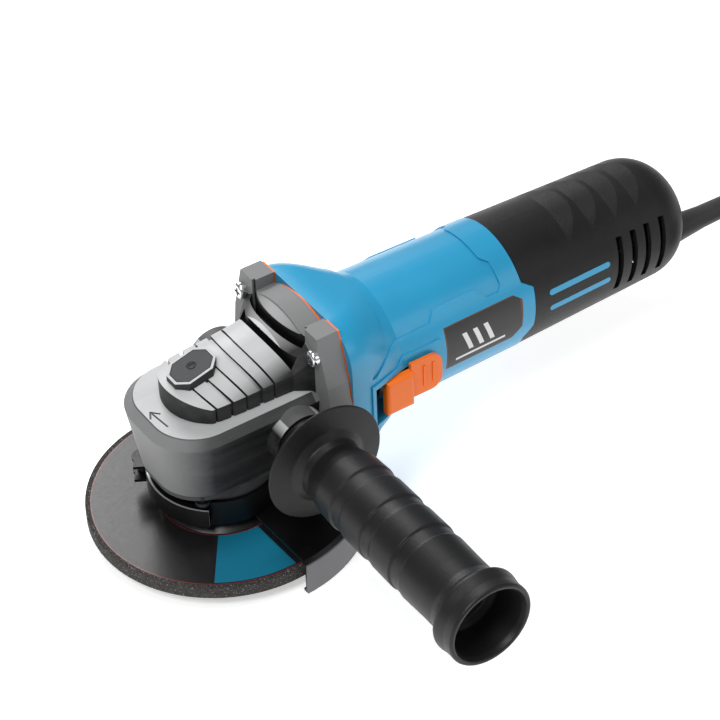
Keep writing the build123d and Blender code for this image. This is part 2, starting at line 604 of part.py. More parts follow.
SLOT = (60.5, 84.0, -15.0, 5.6)


def make_motor_housing():
    raised = body_skin(PANEL_RAISE)
    recess = side_prism(SEAM, -60, 60) - body_skin(0.0)
    body = raised - recess
    body += tab_ring(PANEL_RAISE, 0.0)
    body += x_turn([(144, 26.3), (164, 26.3), (164, STATOR_RADIUS), (144, STATOR_RADIUS)])
    body -= x_rod(31.2, BODY_START_X - 1, 66)
    body -= x_rod(STATOR_RADIUS, 60, STATOR_X + STATOR_LENGTH)
    body -= x_turn([(STATOR_X + STATOR_LENGTH - 1, 0), (STATOR_X + STATOR_LENGTH - 1, 24.0), (120, 24.0), (120, 29.4),
                    (143, 29.0), (146, 26.3), (170, 26.3), (170, 0)])
    web = x_turn([(151, 12.6), (154, 12.6), (154, 26.6), (151, 26.6)])
    hub = x_turn([(REAR_BEARING_X, 12.5), (REAR_BEARING_X + 8, 12.5), (REAR_BEARING_X + 8, 15.0), (REAR_BEARING_X, 15.0)])
    for angle in range(0, 360, 60):
        web -= Pos(0, 0, MOTOR_Z) * Rot(angle, 0, 0) * Pos(0, 0, 20.5) * x_rod(4.2, 149, 156, 0, 0)
    web -= block(149, 156, -25.4, -21.0, MOTOR_Z - 4.6, MOTOR_Z + 4.6)
    body += web + hub
    body -= block(63.2, 146, -31.0, -26.0, MOTOR_Z - 4.3, MOTOR_Z + 4.3)
    bezel = side_prism(BEZEL, -60, 0) & (body_skin(PANEL_RAISE + 0.9) - body_skin(-1.0))
    body += bezel
    x0, x1, z0, z1 = SLOT
    body -= block(x0, x1, -50, -25, MOTOR_Z + z0, MOTOR_Z + z1)
    for y in (-HEAD_SCREW_Y, HEAD_SCREW_Y):
        for dz in (-HEAD_SCREW_DZ, HEAD_SCREW_DZ):
            body -= x_rod(1.9, BODY_START_X - 1, 60, y, MOTOR_Z + dz)
    for label in label_shapes(0.6):
        body -= label
    for angle in STATOR_SCREW_ANGLES:
        body -= Pos(0, 0, MOTOR_Z) * Rot(angle, 0, 0) * Pos(0, 0, 26.0) * x_rod(1.5, 110, 119, 0, 0)
    body -= rear_screw_hole(1.6)
    keep("motor_housing", body)


STATOR_SCREW_ANGLES = (0, 180)


def tab_ring(offset, gap):
    """Tongue of the blue body on each side that reaches into the rear sleeve."""
    skin = x_turn([(BODY_SPLIT_X - 3, STATOR_RADIUS - 1), (BODY_SPLIT_X - 3, SPLIT_RADIUS + offset - 0.1),
                   (158, SPLIT_RADIUS + offset - 0.2), (158, STATOR_RADIUS - 1)])
    prism = both_sides(side_prism(TAB, -60, -20))
    if gap:
        prism = both_sides(extrude(offset_2d(side_face(TAB), gap), 60, dir=(0, -1, 0)))
    return skin & prism


def offset_2d(face, amount):
    return offset(face, amount, kind=Kind.INTERSECTION)


def label_shapes(depth):
    """Plate let into each side of the body; depth is measured from the raised skin."""
    skin = body_skin(PANEL_RAISE) - body_skin(PANEL_RAISE - depth)
    return [skin & side_prism(LABEL, -60, -5), skin & side_prism(LABEL, 5, 60)]


def make_labels():
    keep("label_plates", Compound(children=label_shapes(0.6)))


def rear_screw_hole(radius):
    return z_rod(radius, MOTOR_Z - 40, MOTOR_Z - 24, 158)


def make_air_baffle():
    plate = extrude(offset_2d(flange_face(FLANGE_END_X), -BAFFLE_INSET), BAFFLE_PLATE)
    plate -= x_rod(FAN_RADIUS + 0.8, FLANGE_END_X - 1, 60)
    tube = x_turn([(FLANGE_END_X, FAN_RADIUS + 0.8), (FLANGE_END_X, 31.0), (63, 31.0), (63, FAN_RADIUS + 0.8)])
    baffle = plate + tube
    for y in (-HEAD_SCREW_Y, HEAD_SCREW_Y):
        for dz in (-HEAD_SCREW_DZ, HEAD_SCREW_DZ):
            baffle -= x_rod(2.2, FLANGE_X, 60, y, MOTOR_Z + dz)
    keep("air_baffle", baffle)


# ---------------------------------------------------------------- motor
def make_stator():
    x0, x1 = STATOR_X, STATOR_X + STATOR_LENGTH
    core = x_rod(STATOR_RADIUS, x0, x1) - x_rod(STATOR_BORE, x0 - 1, x1 + 1)
    window = x_turn([(x0 - 1, 17.0), (x1 + 1, 17.0), (x1 + 1, 24.0), (x0 - 1, 24.0)])
    side = window & (side_wedge(28) + mirror(side_wedge(28), about=Plane.XZ))
    core -= side
    for angle in STATOR_SCREW_ANGLES:
        core -= Pos(0, 0, MOTOR_Z) * Rot(angle, 0, 0) * Pos(0, 0, 26.0) * x_rod(1.7, x0 - 1, x1 + 1, 0, 0)
    keep("stator_core", core)
    coil = x_turn([(x0 - 6, 17.8), (x1 + 6, 17.8), (x1 + 6, 23.5), (x0 - 6, 23.5)])
    coil -= x_rod(40, x0 - 0.5, x1 + 0.5) - (side_wedge(26) + mirror(side_wedge(26), about=Plane.XZ))
    coil -= Pos((x0 + x1) / 2, 0, MOTOR_Z) * Box(STATOR_LENGTH + 30, 4, 80)
    keep("stator_windings", coil)
    screws = []
    for angle in STATOR_SCREW_ANGLES:
        screw = Pos(x0, 0, 26.0) * Rot(0, -90, 0) * pan_screw(STATOR_LENGTH + 6, 1.5, 2.3, 2.0)
        screws.append(Pos(0, 0, MOTOR_Z) * Rot(angle, 0, 0) * screw)
    keep("stator_screws", Compound(children=screws))


def side_wedge(half_angle):
    """Wedge about the motor axis that opens towards -Y."""
    reach = 80.0
    z = reach * math.tan(math.radians(half_angle))
    face = make_face(Plane.YZ * Polyline((0, 0), (-reach, z), (-reach, -z), close=True))
    return Pos(40, 0, MOTOR_Z) * extrude(face, 120)


def make_armature():
    r_f, r_r = FRONT_BEARING[0] / 2, REAR_BEARING[0] / 2
    front_x = (PITCH_RADIUS + GEAR_FACE / 2 - 1.2) - GEAR_FACE - 0.6
    rear_x = REAR_BEARING_X + REAR_BEARING[2] + 0.8
    x_s = FRONT_BEARING_X + FRONT_BEARING[2]
    keep("armature_shaft", x_turn([(front_x, 0), (front_x, 2.9), (25.5, 2.9), (25.5, 4.4), (FRONT_BEARING_X - 1, 4.4),
                                   (FRONT_BEARING_X - 1, r_f), (x_s, r_f), (x_s, 5.2), (REAR_BEARING_X - 2, 5.2),
                                   (REAR_BEARING_X - 2, r_r), (rear_x, r_r), (rear_x, 0)]))
    x0, x1 = STATOR_X, STATOR_X + STATOR_LENGTH
    radius = STATOR_BORE - AIR_GAP
    core = x_rod(radius, x0, x1) - x_rod(5.2, x0 - 1, x1 + 1)
    slots = []
    for i in range(12):
        turn = Pos(0, 0, MOTOR_Z) * Rot(30 * i, 0, 0)
        slots.append(turn * Pos((x0 + x1) / 2, 0, radius) * Box(STATOR_LENGTH + 2, 2.2, 3.0))
    keep("armature_core", core - slots)
    ends = x_turn([(x0 - 7, 5.2), (x0 - 7, 10), (x0 - 4, 14.5), (x0, 15.0), (x0, 5.2)])
    ends += x_turn([(x1, 5.2), (x1, 15.0), (x1 + 6, 14.5), (x1 + 10, 9.5), (x1 + 10, 5.2)])
    keep("armature_windings", ends)
    cx0, cx1 = COMMUTATOR_X, COMMUTATOR_X + COMMUTATOR_LENGTH
    comm = x_turn([(cx0, 5.2), (cx0, COMMUTATOR_RADIUS + 1.6), (cx0 + 2, COMMUTATOR_RADIUS + 1.6),
                   (cx0 + 2, COMMUTATOR_RADIUS), (cx1, COMMUTATOR_RADIUS), (cx1, 5.2)])
    gaps = [Pos(0, 0, MOTOR_Z) * Rot(15 * i, 0, 0) * Pos((cx0 + cx1) / 2, 0, COMMUTATOR_RADIUS + 1) *
            Box(COMMUTATOR_LENGTH + 2, 0.5, 3.2) for i in range(24)]
    keep("commutator", comm - gaps)


def make_fan():
    x0, x1 = FAN_X, FAN_X + FAN_LENGTH
    hub = x_turn([(x0, 5.2), (x0, 9.0), (x1, 9.0), (x1, 5.2)])
    plate = x_turn([(x1 - 1.4, 8.0), (x1 - 1.4, FAN_RADIUS), (x1, FAN_RADIUS), (x1, 8.0)])
    blades = []
    for i in range(17):
        blade = Pos((x0 + x1) / 2, 0, 18.6) * Box(FAN_LENGTH, 1.2, 19.0)
        blades.append(Pos(0, 0, MOTOR_Z) * Rot(360 / 17 * i, 0, 0) * Pos(0, 2.5, 0) * blade)
    fan = (Part() + [hub + plate] + blades) & x_rod(FAN_RADIUS, x0 - 1, x1 + 1)
    keep("cooling_fan", fan)


def make_brushes():
    holders, brushes, springs = [], [], []
    x = COMMUTATOR_X + 9.5
    for side in (1, -1):
        flip = Pos(0, 0, MOTOR_Z) * Rot(90 - 90 * side, 0, 0)
        inner = block(x - 4.02, x + 4.02, -3.02, 3.02, 11, 30)
        holders.append(flip * (block(x - 5, x + 5, -4, 4, 12.6, 26.2) - inner))
        brushes.append(flip * block(x - 4, x + 4, -3, 3, COMMUTATOR_RADIUS + 0.06, 19))
        wire = z_turn([(1.4, 19), (2.4, 19), (2.4, 25.6), (1.4, 25.6)])
        springs.append(flip * Pos(x, 0, 0) * wire)
    keep("brush_holders", Compound(children=holders))
    keep("carbon_brushes", Compound(children=brushes))
    keep("brush_springs", Compound(children=springs))
    keep("bearing_sleeve", x_turn([(REAR_BEARING_X, REAR_BEARING[1] / 2), (REAR_BEARING_X + 7, REAR_BEARING[1] / 2),
                                   (REAR_BEARING_X + 7, 12.5), (REAR_BEARING_X, 12.5)]))


# ---------------------------------------------------------------- rear housing
def tail_solid(inset):
    """Filled rear sleeve: a slight taper, a rounded shoulder and a spherical cap."""
    x0, r0 = BODY_SPLIT_X + 0.3 - max(inset, 0), SPLIT_RADIUS + PANEL_RAISE - 0.2 - inset
    cap_x = TAIL_END_X - CAP_RADIUS
    ahead = TAIL_BEND_X - cap_x
    bend = (CAP_RADIUS ** 2 - TAIL_RADIUS ** 2 - ahead ** 2) / (2 * (CAP_RADIUS - TAIL_RADIUS))
    meet = math.degrees(math.atan2(TAIL_RADIUS - bend, ahead))
    wall = Polyline((x0, 0), (x0, r0), (TAIL_BEND_X, TAIL_RADIUS - inset))
    shoulder = CenterArc((TAIL_BEND_X, TAIL_RADIUS - bend), bend - inset, meet, 90 - meet)
    cap = CenterArc((cap_x, 0), CAP_RADIUS - inset, 0, meet)
    axis_line = Line((x0, 0), (TAIL_END_X - inset, 0))
    face = make_face(Plane.XZ * (wall + shoulder + cap + axis_line))
    return Pos(0, 0, MOTOR_Z) * revolve(face, axis=Axis.X)


def make_rear_housing():
    body = tail_solid(0.0)
    start = RELIEF_START_X
    body += x_turn([(start - 2, 0), (start - 2, 11.0), (start + 10.5, 10.2), (start + 12.2, 8.8), (start + 12.2, 0)],
                   0, CORD_Z)
    body -= tail_solid(SHELL_WALL)
    body -= x_rod(7.0, start - 6, start + 16, 0, CORD_Z)
    body -= x_rod(9.0, start - 6, start + 8.4, 0, CORD_Z)
    body -= tab_ring(PANEL_RAISE + 2, 0.3)
    for x in (192.0, 209.2):
        body += block(x, x + 2.0, -29.2, -24.0, MOTOR_Z - 6, MOTOR_Z + 4)
        body += block(x, x + 2.0, 20.0, 29.2, MOTOR_Z - 2, MOTOR_Z + 4)
    for y in (-8.5, 8.5):
        body += z_rod(3.2, MOTOR_Z - 29.0, CORD_Z - 2.0, CORD_CLAMP_X, y)
        body -= z_rod(1.4, MOTOR_Z - 26.0, CORD_Z, CORD_CLAMP_X, y)
    for ahead in SCALLOPS:
        x = TAIL_END_X - ahead
        floor = tube_radius(x) + SCALLOP_DROP - SCALLOP_DEPTH
        body -= x_turn([(x, floor), (x + SCALLOP_RUN, floor + SCALLOP_DEPTH), (x + SCALLOP_RUN, 50), (x - 0.4, 50)],
                       0, MOTOR_Z - SCALLOP_DROP)
    for ahead in VENTS:
        cut = Pos(TAIL_END_X - ahead, 0, MOTOR_Z + 2.8) * Rot(0, 6, 0) * Box(3.3, 80, 27.5)
        body -= cut
    for stripe in stripe_shapes():
        body -= stripe
    body -= rear_screw_hole(2.1)
    body -= z_rod(4.2, MOTOR_Z - 40, MOTOR_Z - SPLIT_RADIUS + 0.9, 158)
    keep("rear_housing", body)


def stripe_shapes():
    """Four round-ended inserts let into the sleeve, two on each side."""
    shapes = []
    skin = tail_solid(-0.1) - tail_solid(0.9)
    for dz in (6.9, -1.6):
        bar = Pos(TAIL_END_X - STRIPE_MIDDLE, 0, MOTOR_Z + dz) * Rot(90, 0, 0) * extrude(SlotOverall(36.0, 2.9), 60, both=True)
        shapes.append(skin & bar & block(100, 250, -60, -10, 0, 120))
        shapes.append(skin & bar & block(100, 250, 10, 60, 0, 120))
    return shapes


def make_stripes():
    keep("stripe_inserts", Compound(children=stripe_shapes()))


def make_rear_screw():
    seat = MOTOR_Z - SPLIT_RADIUS + 0.9
    keep("rear_housing_screw", Pos(158, 0, seat) * Rot(180, 0, 0) * pan_screw(5.4, 1.6, 3.4, 1.6))


# ---------------------------------------------------------------- switch
def make_switch():
    keep("switch_body", block(188, 214, -24.0, -8.0, MOTOR_Z - 9, MOTOR_Z + 7)
         - block(186, 199.5, -25.0, -21.0, MOTOR_Z - 3.4, MOTOR_Z + 3.4))
    keep("capacitor", fillet(block(190, 212, 6, 20, MOTOR_Z - 6, MOTOR_Z + 8).edges().filter_by(Axis.X), 3))
    rod = block(70, 143, -30.2, -28.9, MOTOR_Z - 3.5, MOTOR_Z + 3.5)
    rod += block(141.7, 143, -30.2, -22.4, MOTOR_Z - 3.5, MOTOR_Z + 3.5)
    rod += block(141.7, 197, -23.7, -22.4, MOTOR_Z - 3.0, MOTOR_Z + 3.0)
    rod -= block(71.5, 78.5, -31, -28, MOTOR_Z - 2.0, MOTOR_Z + 2.0)
    keep("switch_rod", rod)
    skin = tube_radius(82) + PANEL_RAISE + 0.9
    front = block(67, 81.5, -(skin + 4.6), -(skin + 0.3), MOTOR_Z - 13.5, MOTOR_Z + 5.0)
    front = fillet(front.edges().group_by(Axis.Y)[0], 1.6)
    rear = block(81, 98, -(skin + 2.4), -(skin + 0.6), MOTOR_Z - 11.0, MOTOR_Z + 8.5)
    rear = fillet(rear.edges().filter_by(Axis.Y).group_by(Axis.X)[-1], 6.0)
    ribs = [block(x, x + 1.3, -(skin + 3.0), -(skin + 2.0), MOTOR_Z - 6.5, MOTOR_Z + 4.5) for x in (87.5, 92.5)]
    foot = block(71.7, 78.3, -(skin + 1), -28.95, MOTOR_Z - 1.8, MOTOR_Z + 1.8)
    keep("switch_knob", front + rear + ribs + foot)


def make_leads():
    """Jacket end and the two conductors between the cord clamp and the switch."""
    middle = CORD_CLAMP_X
    jacket_x = middle - 7.5
    jacket = x_rod(CORD_DIAMETER / 2, jacket_x, RELIEF_START_X, 0, CORD_Z)
    path_a = FilletPolyline((jacket_x, -1.8, CORD_Z), (jacket_x - 6, -1.8, CORD_Z), (220, -16, MOTOR_Z - 3),
                            (214, -16, MOTOR_Z - 3), radius=2.5)
    path_b = FilletPolyline((jacket_x, 1.8, CORD_Z), (jacket_x - 6, 1.8, CORD_Z), (218, 13, MOTOR_Z - 2),
                            (212, 13, MOTOR_Z - 2), radius=2.5)
    wires = [sweep(Plane(origin=path @ 0, z_dir=path % 0) * Circle(1.2), path=path) for path in (path_a, path_b)]
    keep("lead_wires", Compound(children=[jacket] + wires))
    bar = block(middle - 3, middle + 3, -11.5, 11.5, CORD_Z - 2.0, CORD_Z + 6.2)
    bar -= x_rod(CORD_DIAMETER / 2, middle - 4.5, middle + 4.5, 0, CORD_Z)
    bar -= block(middle - 4.5, middle + 4.5, -CORD_DIAMETER / 2 + 0.1, CORD_DIAMETER / 2 - 0.1, CORD_Z - 3, CORD_Z)
    for y in (-8.5, 8.5):
        bar -= z_rod(1.8, CORD_Z - 3, CORD_Z + 8, middle, y)
    keep("cord_clamp", bar)
    screw = pan_screw(12.0, 1.4, 2.7, 2.0)
    keep("cord_clamp_screws", Compound(children=[Pos(middle, y, CORD_Z + 6.2) * screw for y in (-8.5, 8.5)]))


# ---------------------------------------------------------------- cord
def make_cord():
    exit_x = RELIEF_END_X
    start = RELIEF_START_X
    keep("strain_relief", x_turn([(start, 0), (start, 8.6), (start + 4, 8.6), (start + 4, 6.9), (start + 14.4, 6.9),
                                  (start + 15.4, 7.6), (start + 20, 7.1), (start + 38, 5.6), (exit_x, 5.0),
                                  (exit_x, 0)], 0, CORD_Z))
    points = [Vector(*point) for point in CORD_ROUTE]
    radii = []
    for a, b, c in zip(points, points[1:], points[2:]):
        turn = math.radians((b - a).get_angle(c - b))
        radii.append(0.45 * min((b - a).length, (c - b).length) / math.tan(turn / 2))
    print("cord bend radii", [round(radius, 1) for radius in radii])
    path = FilletPolyline(*CORD_ROUTE, radius=radii)
    tube = sweep(Plane(origin=path @ 0, z_dir=path % 0) * Circle(CORD_DIAMETER / 2), path=path)
    print("cord volume over section times length", tube.volume / (math.pi * CORD_DIAMETER ** 2 / 4 * path.length))
    print("cord length in the tube", path.length)
    keep("power_cord", tube)
    outer = COIL_INNER + COIL_TURNS_WIDE * CORD_DIAMETER
    height = COIL_LAYERS * CORD_DIAMETER
    x, y = COIL_CENTRE
    coil = Pos(x, y, FLOOR_Z) * z_turn([(COIL_INNER, 0), (outer, 0), (outer, height), (COIL_INNER, height)])
    end_x, end_y, end_z = CORD_ROUTE[-1]
    half = CORD_DIAMETER / 2 + 0.5
    coil -= block(end_x - half, end_x + 20, end_y, end_y + 60, FLOOR_Z - 1, end_z + half + 2)
    keep("cord_coil", coil)


def make_plug():
    base = FLOOR_Z + COIL_LAYERS * CORD_DIAMETER
    place = Pos(*PLUG_PLACE, base) * Rot(0, 0, PLUG_TURN)
    grip = [Pos(px, 0, 9) * (Plane.YZ * RectangleRounded(w, h, 4)) for px, w, h in
            ((-22, 12, 12), (-8, 21, 16), (8, 24, 18), (16, 24, 18))]
    body = loft(grip, ruled=True)
    blade = block(15, 33, -0.75, 0.75, 5.8, 12.2)
    blades = [place * Pos(0, dy, 0) * blade for dy in (-6.35, 6.35)]
    keep("plug_body", place * body - blades)
    keep("plug_blades", Compound(children=blades))


# ---------------------------------------------------------------- side handle
def make_handle():
    rim_y = HANDLE_RIM_Y
    hub_y = -BOSS_REACH
    end_y = GRIP_END_Y
    profile = [(hub_y, 4.25), (hub_y, 13.0), (rim_y + 8, 14.5), (rim_y + 4, HANDLE_RIM_RADIUS - 2),
               (rim_y + 1.5, HANDLE_RIM_RADIUS), (rim_y, HANDLE_RIM_RADIUS - 0.5), (rim_y - 2, 24.0), (rim_y - 6, 19.6),
               (rim_y - 12, 17.4), (rim_y - 22, GRIP_RADIUS), (rim_y - 60, GRIP_RADIUS + 0.4), (end_y + 18, GRIP_RADIUS - 0.3),
               (end_y + 14, 17.6), (end_y + 13, 20.0), (end_y + 11.5, 20.0), (end_y + 6, 17.5), (end_y + 1.2, 19.2),
               (end_y, 18.6), (end_y + 0.2, 16.2), (end_y + 20, 13.0), (end_y + 20, 0), (rim_y - 10, 0), (rim_y - 10, 4.25)]
    grip = y_turn(profile, HANDLE_X, HANDLE_Z)
    keep("side_handle", grip)
    keep("handle_stud", y_rod(HANDLE_THREAD_RADIUS - FIT_CLEARANCE, -(BOSS_REACH - HANDLE_THREAD_DEPTH) - 1, rim_y - 10,
                              HANDLE_X, HANDLE_Z))


# ---------------------------------------------------------------- guard
def make_guard():
    outer = GUARD_RADIUS
    inner = outer - GUARD_SHEET
    top = GUARD_TOP_Z
    floor = FLOOR_Z
    profile = [(24.5, top - GUARD_SHEET), (inner - 1.0, top - GUARD_SHEET), (inner, top - GUARD_SHEET - 1.0),
               (inner, floor + 1.4), (inner - 1.6, floor + 1.4), (inner - 1.6, floor), (outer, floor),
               (outer, top - 2.2), (outer - 2.2, top), (24.5, top)]
    face = make_face(Plane.XZ * Polyline(*profile, close=True))
    keep("guard_shell", Rot(0, 0, -GUARD_SPAN / 2) * revolve(face, axis=Axis.Z, revolution_arc=GUARD_SPAN))
    gap = math.degrees(2.0 / NECK_RADIUS)
    band = ring_sector(BAND_RADIUS, BAND_RADIUS + BAND_WALL, top, BAND_TOP_Z, CLAMP_ANGLE + gap, CLAMP_ANGLE + 360 - gap)
    place = Rot(0, 0, CLAMP_ANGLE)
    for side in (-1, 1):
        tab = block(BAND_RADIUS + 0.2, CLAMP_BOLT_R + 4.0, side * 2.0, side * 4.0, CLAMP_Z - 3.5, CLAMP_Z + 3.5)
        hole = y_rod(2.2, -6, 6, CLAMP_BOLT_R, CLAMP_Z)
        band += place * (tab - hole)
    keep("clamp_band", band)
    bolt = y_rod(1.9, -9.5, 9.2, CLAMP_BOLT_R, CLAMP_Z) + z_rod(3.0, CLAMP_Z - 3.0, CLAMP_Z + 3.0, CLAMP_BOLT_R, 9.2)
    bolt += z_rod(1.6, CLAMP_Z - 4.5, CLAMP_Z + 4.5, CLAMP_BOLT_R, 9.2)
    keep("clamp_bolt", place * bolt)
    nut = extrude(Plane(origin=(CLAMP_BOLT_R, -4.0, CLAMP_Z), z_dir=(0, -1, 0)) * RegularPolygon(3.6, 6), 3.2)
    keep("clamp_bolt_nut", place * (nut - y_rod(1.9, -9, 0, CLAMP_BOLT_R, CLAMP_Z)))


def make_lever():
    place = Rot(0, 0, CLAMP_ANGLE)
    r_in = BAND_RADIUS + BAND_WALL + 0.7
    plates = []
    for z0 in (CLAMP_Z - 4.6, CLAMP_Z + 3.1):
        ear = place * z_rod(4.9, z0, z0 + 1.5, CLAMP_BOLT_R, 9.2)
        arm = ring_sector(r_in, r_in + 4.4, z0, z0 + 1.5, CLAMP_ANGLE + 22, CLAMP_ANGLE + 108)
        root = ring_sector(r_in + 1, r_in + 10, z0, z0 + 1.5, CLAMP_ANGLE + 19, CLAMP_ANGLE + 27)
        plates.append(ear + root + arm)
    wall = ring_sector(r_in + 2.9, r_in + 4.4, CLAMP_Z - 4.6, CLAMP_Z + 4.6, CLAMP_ANGLE + 30, CLAMP_ANGLE + 108)
    lever = plates[0] + plates[1] + wall
    lever -= place * z_rod(1.6 + FIT_CLEARANCE, CLAMP_Z - 6, CLAMP_Z + 6, CLAMP_BOLT_R, 9.2)
    keep("clamp_lever", lever)


STEPS = [make_spindle_bearing, make_motor_bearings, make_crown_gear, make_pinion, make_spindle,
         make_clamping, make_wheel, make_gear_housing, make_spindle_cover, make_top_bush, make_head_screws,
         make_bracket, make_spindle_lock, make_motor_housing, make_labels, make_air_baffle, make_stator, make_armature,
         make_fan, make_brushes, make_rear_housing, make_stripes, make_rear_screw, make_switch, make_leads, make_cord,
         make_plug, make_handle, make_guard, make_lever]
for step in STEPS:
    step()

os.makedirs("parts", exist_ok=True)
for name, shape in NODES.items():
    export_step(shape, "parts/" + name + ".step")
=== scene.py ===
"""Looks of a corded angle grinder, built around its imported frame."""
import json
import math

import bpy
import numpy as np
from bpy.props import FloatProperty, FloatVectorProperty, IntProperty, PointerProperty
from mathutils import Matrix, Vector


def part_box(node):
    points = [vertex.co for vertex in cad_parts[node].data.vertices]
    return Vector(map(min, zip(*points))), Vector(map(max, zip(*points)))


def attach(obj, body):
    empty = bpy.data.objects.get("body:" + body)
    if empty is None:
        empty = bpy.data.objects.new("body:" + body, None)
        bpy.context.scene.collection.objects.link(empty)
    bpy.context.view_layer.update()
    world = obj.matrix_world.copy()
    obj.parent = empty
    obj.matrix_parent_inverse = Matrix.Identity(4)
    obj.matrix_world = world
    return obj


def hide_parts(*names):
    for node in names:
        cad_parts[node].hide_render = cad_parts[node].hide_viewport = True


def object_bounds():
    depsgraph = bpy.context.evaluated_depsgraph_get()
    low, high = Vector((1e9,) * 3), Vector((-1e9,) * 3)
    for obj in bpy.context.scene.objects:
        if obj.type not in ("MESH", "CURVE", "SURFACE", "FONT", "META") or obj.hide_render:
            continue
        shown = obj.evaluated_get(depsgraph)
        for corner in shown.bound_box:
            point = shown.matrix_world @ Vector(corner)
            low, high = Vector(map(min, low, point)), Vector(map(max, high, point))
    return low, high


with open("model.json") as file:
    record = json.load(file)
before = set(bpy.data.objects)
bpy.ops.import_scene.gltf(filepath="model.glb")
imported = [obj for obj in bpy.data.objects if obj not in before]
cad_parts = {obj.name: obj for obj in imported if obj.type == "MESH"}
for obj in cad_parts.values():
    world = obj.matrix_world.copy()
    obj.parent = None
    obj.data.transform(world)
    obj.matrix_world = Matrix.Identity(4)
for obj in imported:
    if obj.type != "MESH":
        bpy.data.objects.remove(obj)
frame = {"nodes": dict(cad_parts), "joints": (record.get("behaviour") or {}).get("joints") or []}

bl_info = {
    "name": "Angle grinder looks",
    "version": (1, 0, 0),
    "blender": (4, 5, 0),
    "location": "View3D > Sidebar > Grinder",
    "description": "Finishes and soft pieces of a corded angle grinder on its packed frame",
    "category": "Object",
}

MM = 0.001
SHEET = 0.0005
CAD_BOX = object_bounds()
MOTOR_Z = frame["joints"][1]["pos_m"][2]

# Gear head: where its finish changes, where painted light falls on the nose wall and where the vent slots get
# painted shade
PAD_CURVE = 0.048
SLOT_ARCS = ((0.0228, 0.0030), (0.0290, 0.0032))
SLOT_HALF_SPAN = 0.02146
SLOT_LOWEST_Z = 0.0790
FLANGE_X = 0.0358
LEDGE_EDGE_X = 0.0340
LEDGE_CHAMFER_Z = (0.0688, 0.0729)
NOSE_TOP_Z = 0.0725
NOSE_END_X = -0.010

# Wheel and guard: radii about the spindle, and the printed sector's direction and half width
PRINT_RADIUS = 0.0602
RING_RADII = (0.0598, 0.0288)
SECTOR_RADII = (0.0290, 0.0590)
SECTOR_ANGLE = math.radians(-106.5)
SECTOR_HALF = math.radians(18.5)
SKIRT_RADII = (0.0668, 0.0673)
SKIRT_TOP_Z = 0.0158
# Radius of a painted highlight, the light line along the lever's upper edge; a radius that no part reaches
# paints none.
LEVER_HIGHLIGHT_RADIUS = 0.0326
NO_HIGHLIGHT_RADIUS = 1.0

# Label plate: its printed face along the body, and about the motor axis in height
PLATE_X = (0.1040, 0.1462)
PLATE_Z = (-0.0079, 0.0137)
BAR_MIDDLES = (0.1165, 0.1225, 0.1285)


# ---------------------------------------------------------------- shader values
class Value:
    """A number in a shader; arithmetic on it adds Math nodes."""

    def __init__(self, tree, socket):
        self.tree = tree
        self.socket = socket

    def math(self, operation, *others):
        node = self.tree.nodes.new("ShaderNodeMath")
        node.operation = operation
        for slot, item in zip(node.inputs, others):
            plug(self.tree, slot, item)
        return Value(self.tree, node.outputs[0])

    def __add__(self, other):
        return self.math("ADD", self, other)

    def __radd__(self, other):
        return self.math("ADD", other, self)

    def __sub__(self, other):
        return self.math("SUBTRACT", self, other)

    def __rsub__(self, other):
        return self.math("SUBTRACT", other, self)

    def __mul__(self, other):
        return self.math("MULTIPLY", self, other)

    def __rmul__(self, other):
        return self.math("MULTIPLY", other, self)

    def __truediv__(self, other):
        return self.math("DIVIDE", self, other)

    def __pow__(self, other):
        return self.math("POWER", self, other)

    def __abs__(self):
        return self.math("ABSOLUTE", self)

    def sqrt(self):
        return self.math("SQRT", self)

    def above(self, edge):
        return self.math("GREATER_THAN", self, edge)

    def below(self, edge):
        return self.math("LESS_THAN", self, edge)

    def clamp(self):
        return self.math("MINIMUM", self.math("MAXIMUM", self, 0.0), 1.0)

    def ramp(self, low, high):
        """0 below low, 1 above high and straight between."""
        return ((self - low) / (high - low)).clamp()

    def band(self, middle, half, soft):
        """1 within half of middle, falling to 0 over soft."""
        return 1 - abs(self - middle).ramp(half, half + soft)


def plug(tree, slot, item):
    """Puts a value, a socket or a plain number into a node's input."""
    if isinstance(item, Value):
        tree.links.new(item.socket, slot)
    elif isinstance(item, bpy.types.NodeSocket):
        tree.links.new(item, slot)
    elif slot.type == "RGBA" and len(item) == 3:
        slot.default_value = (*item, 1.0)
    else:
        slot.default_value = item


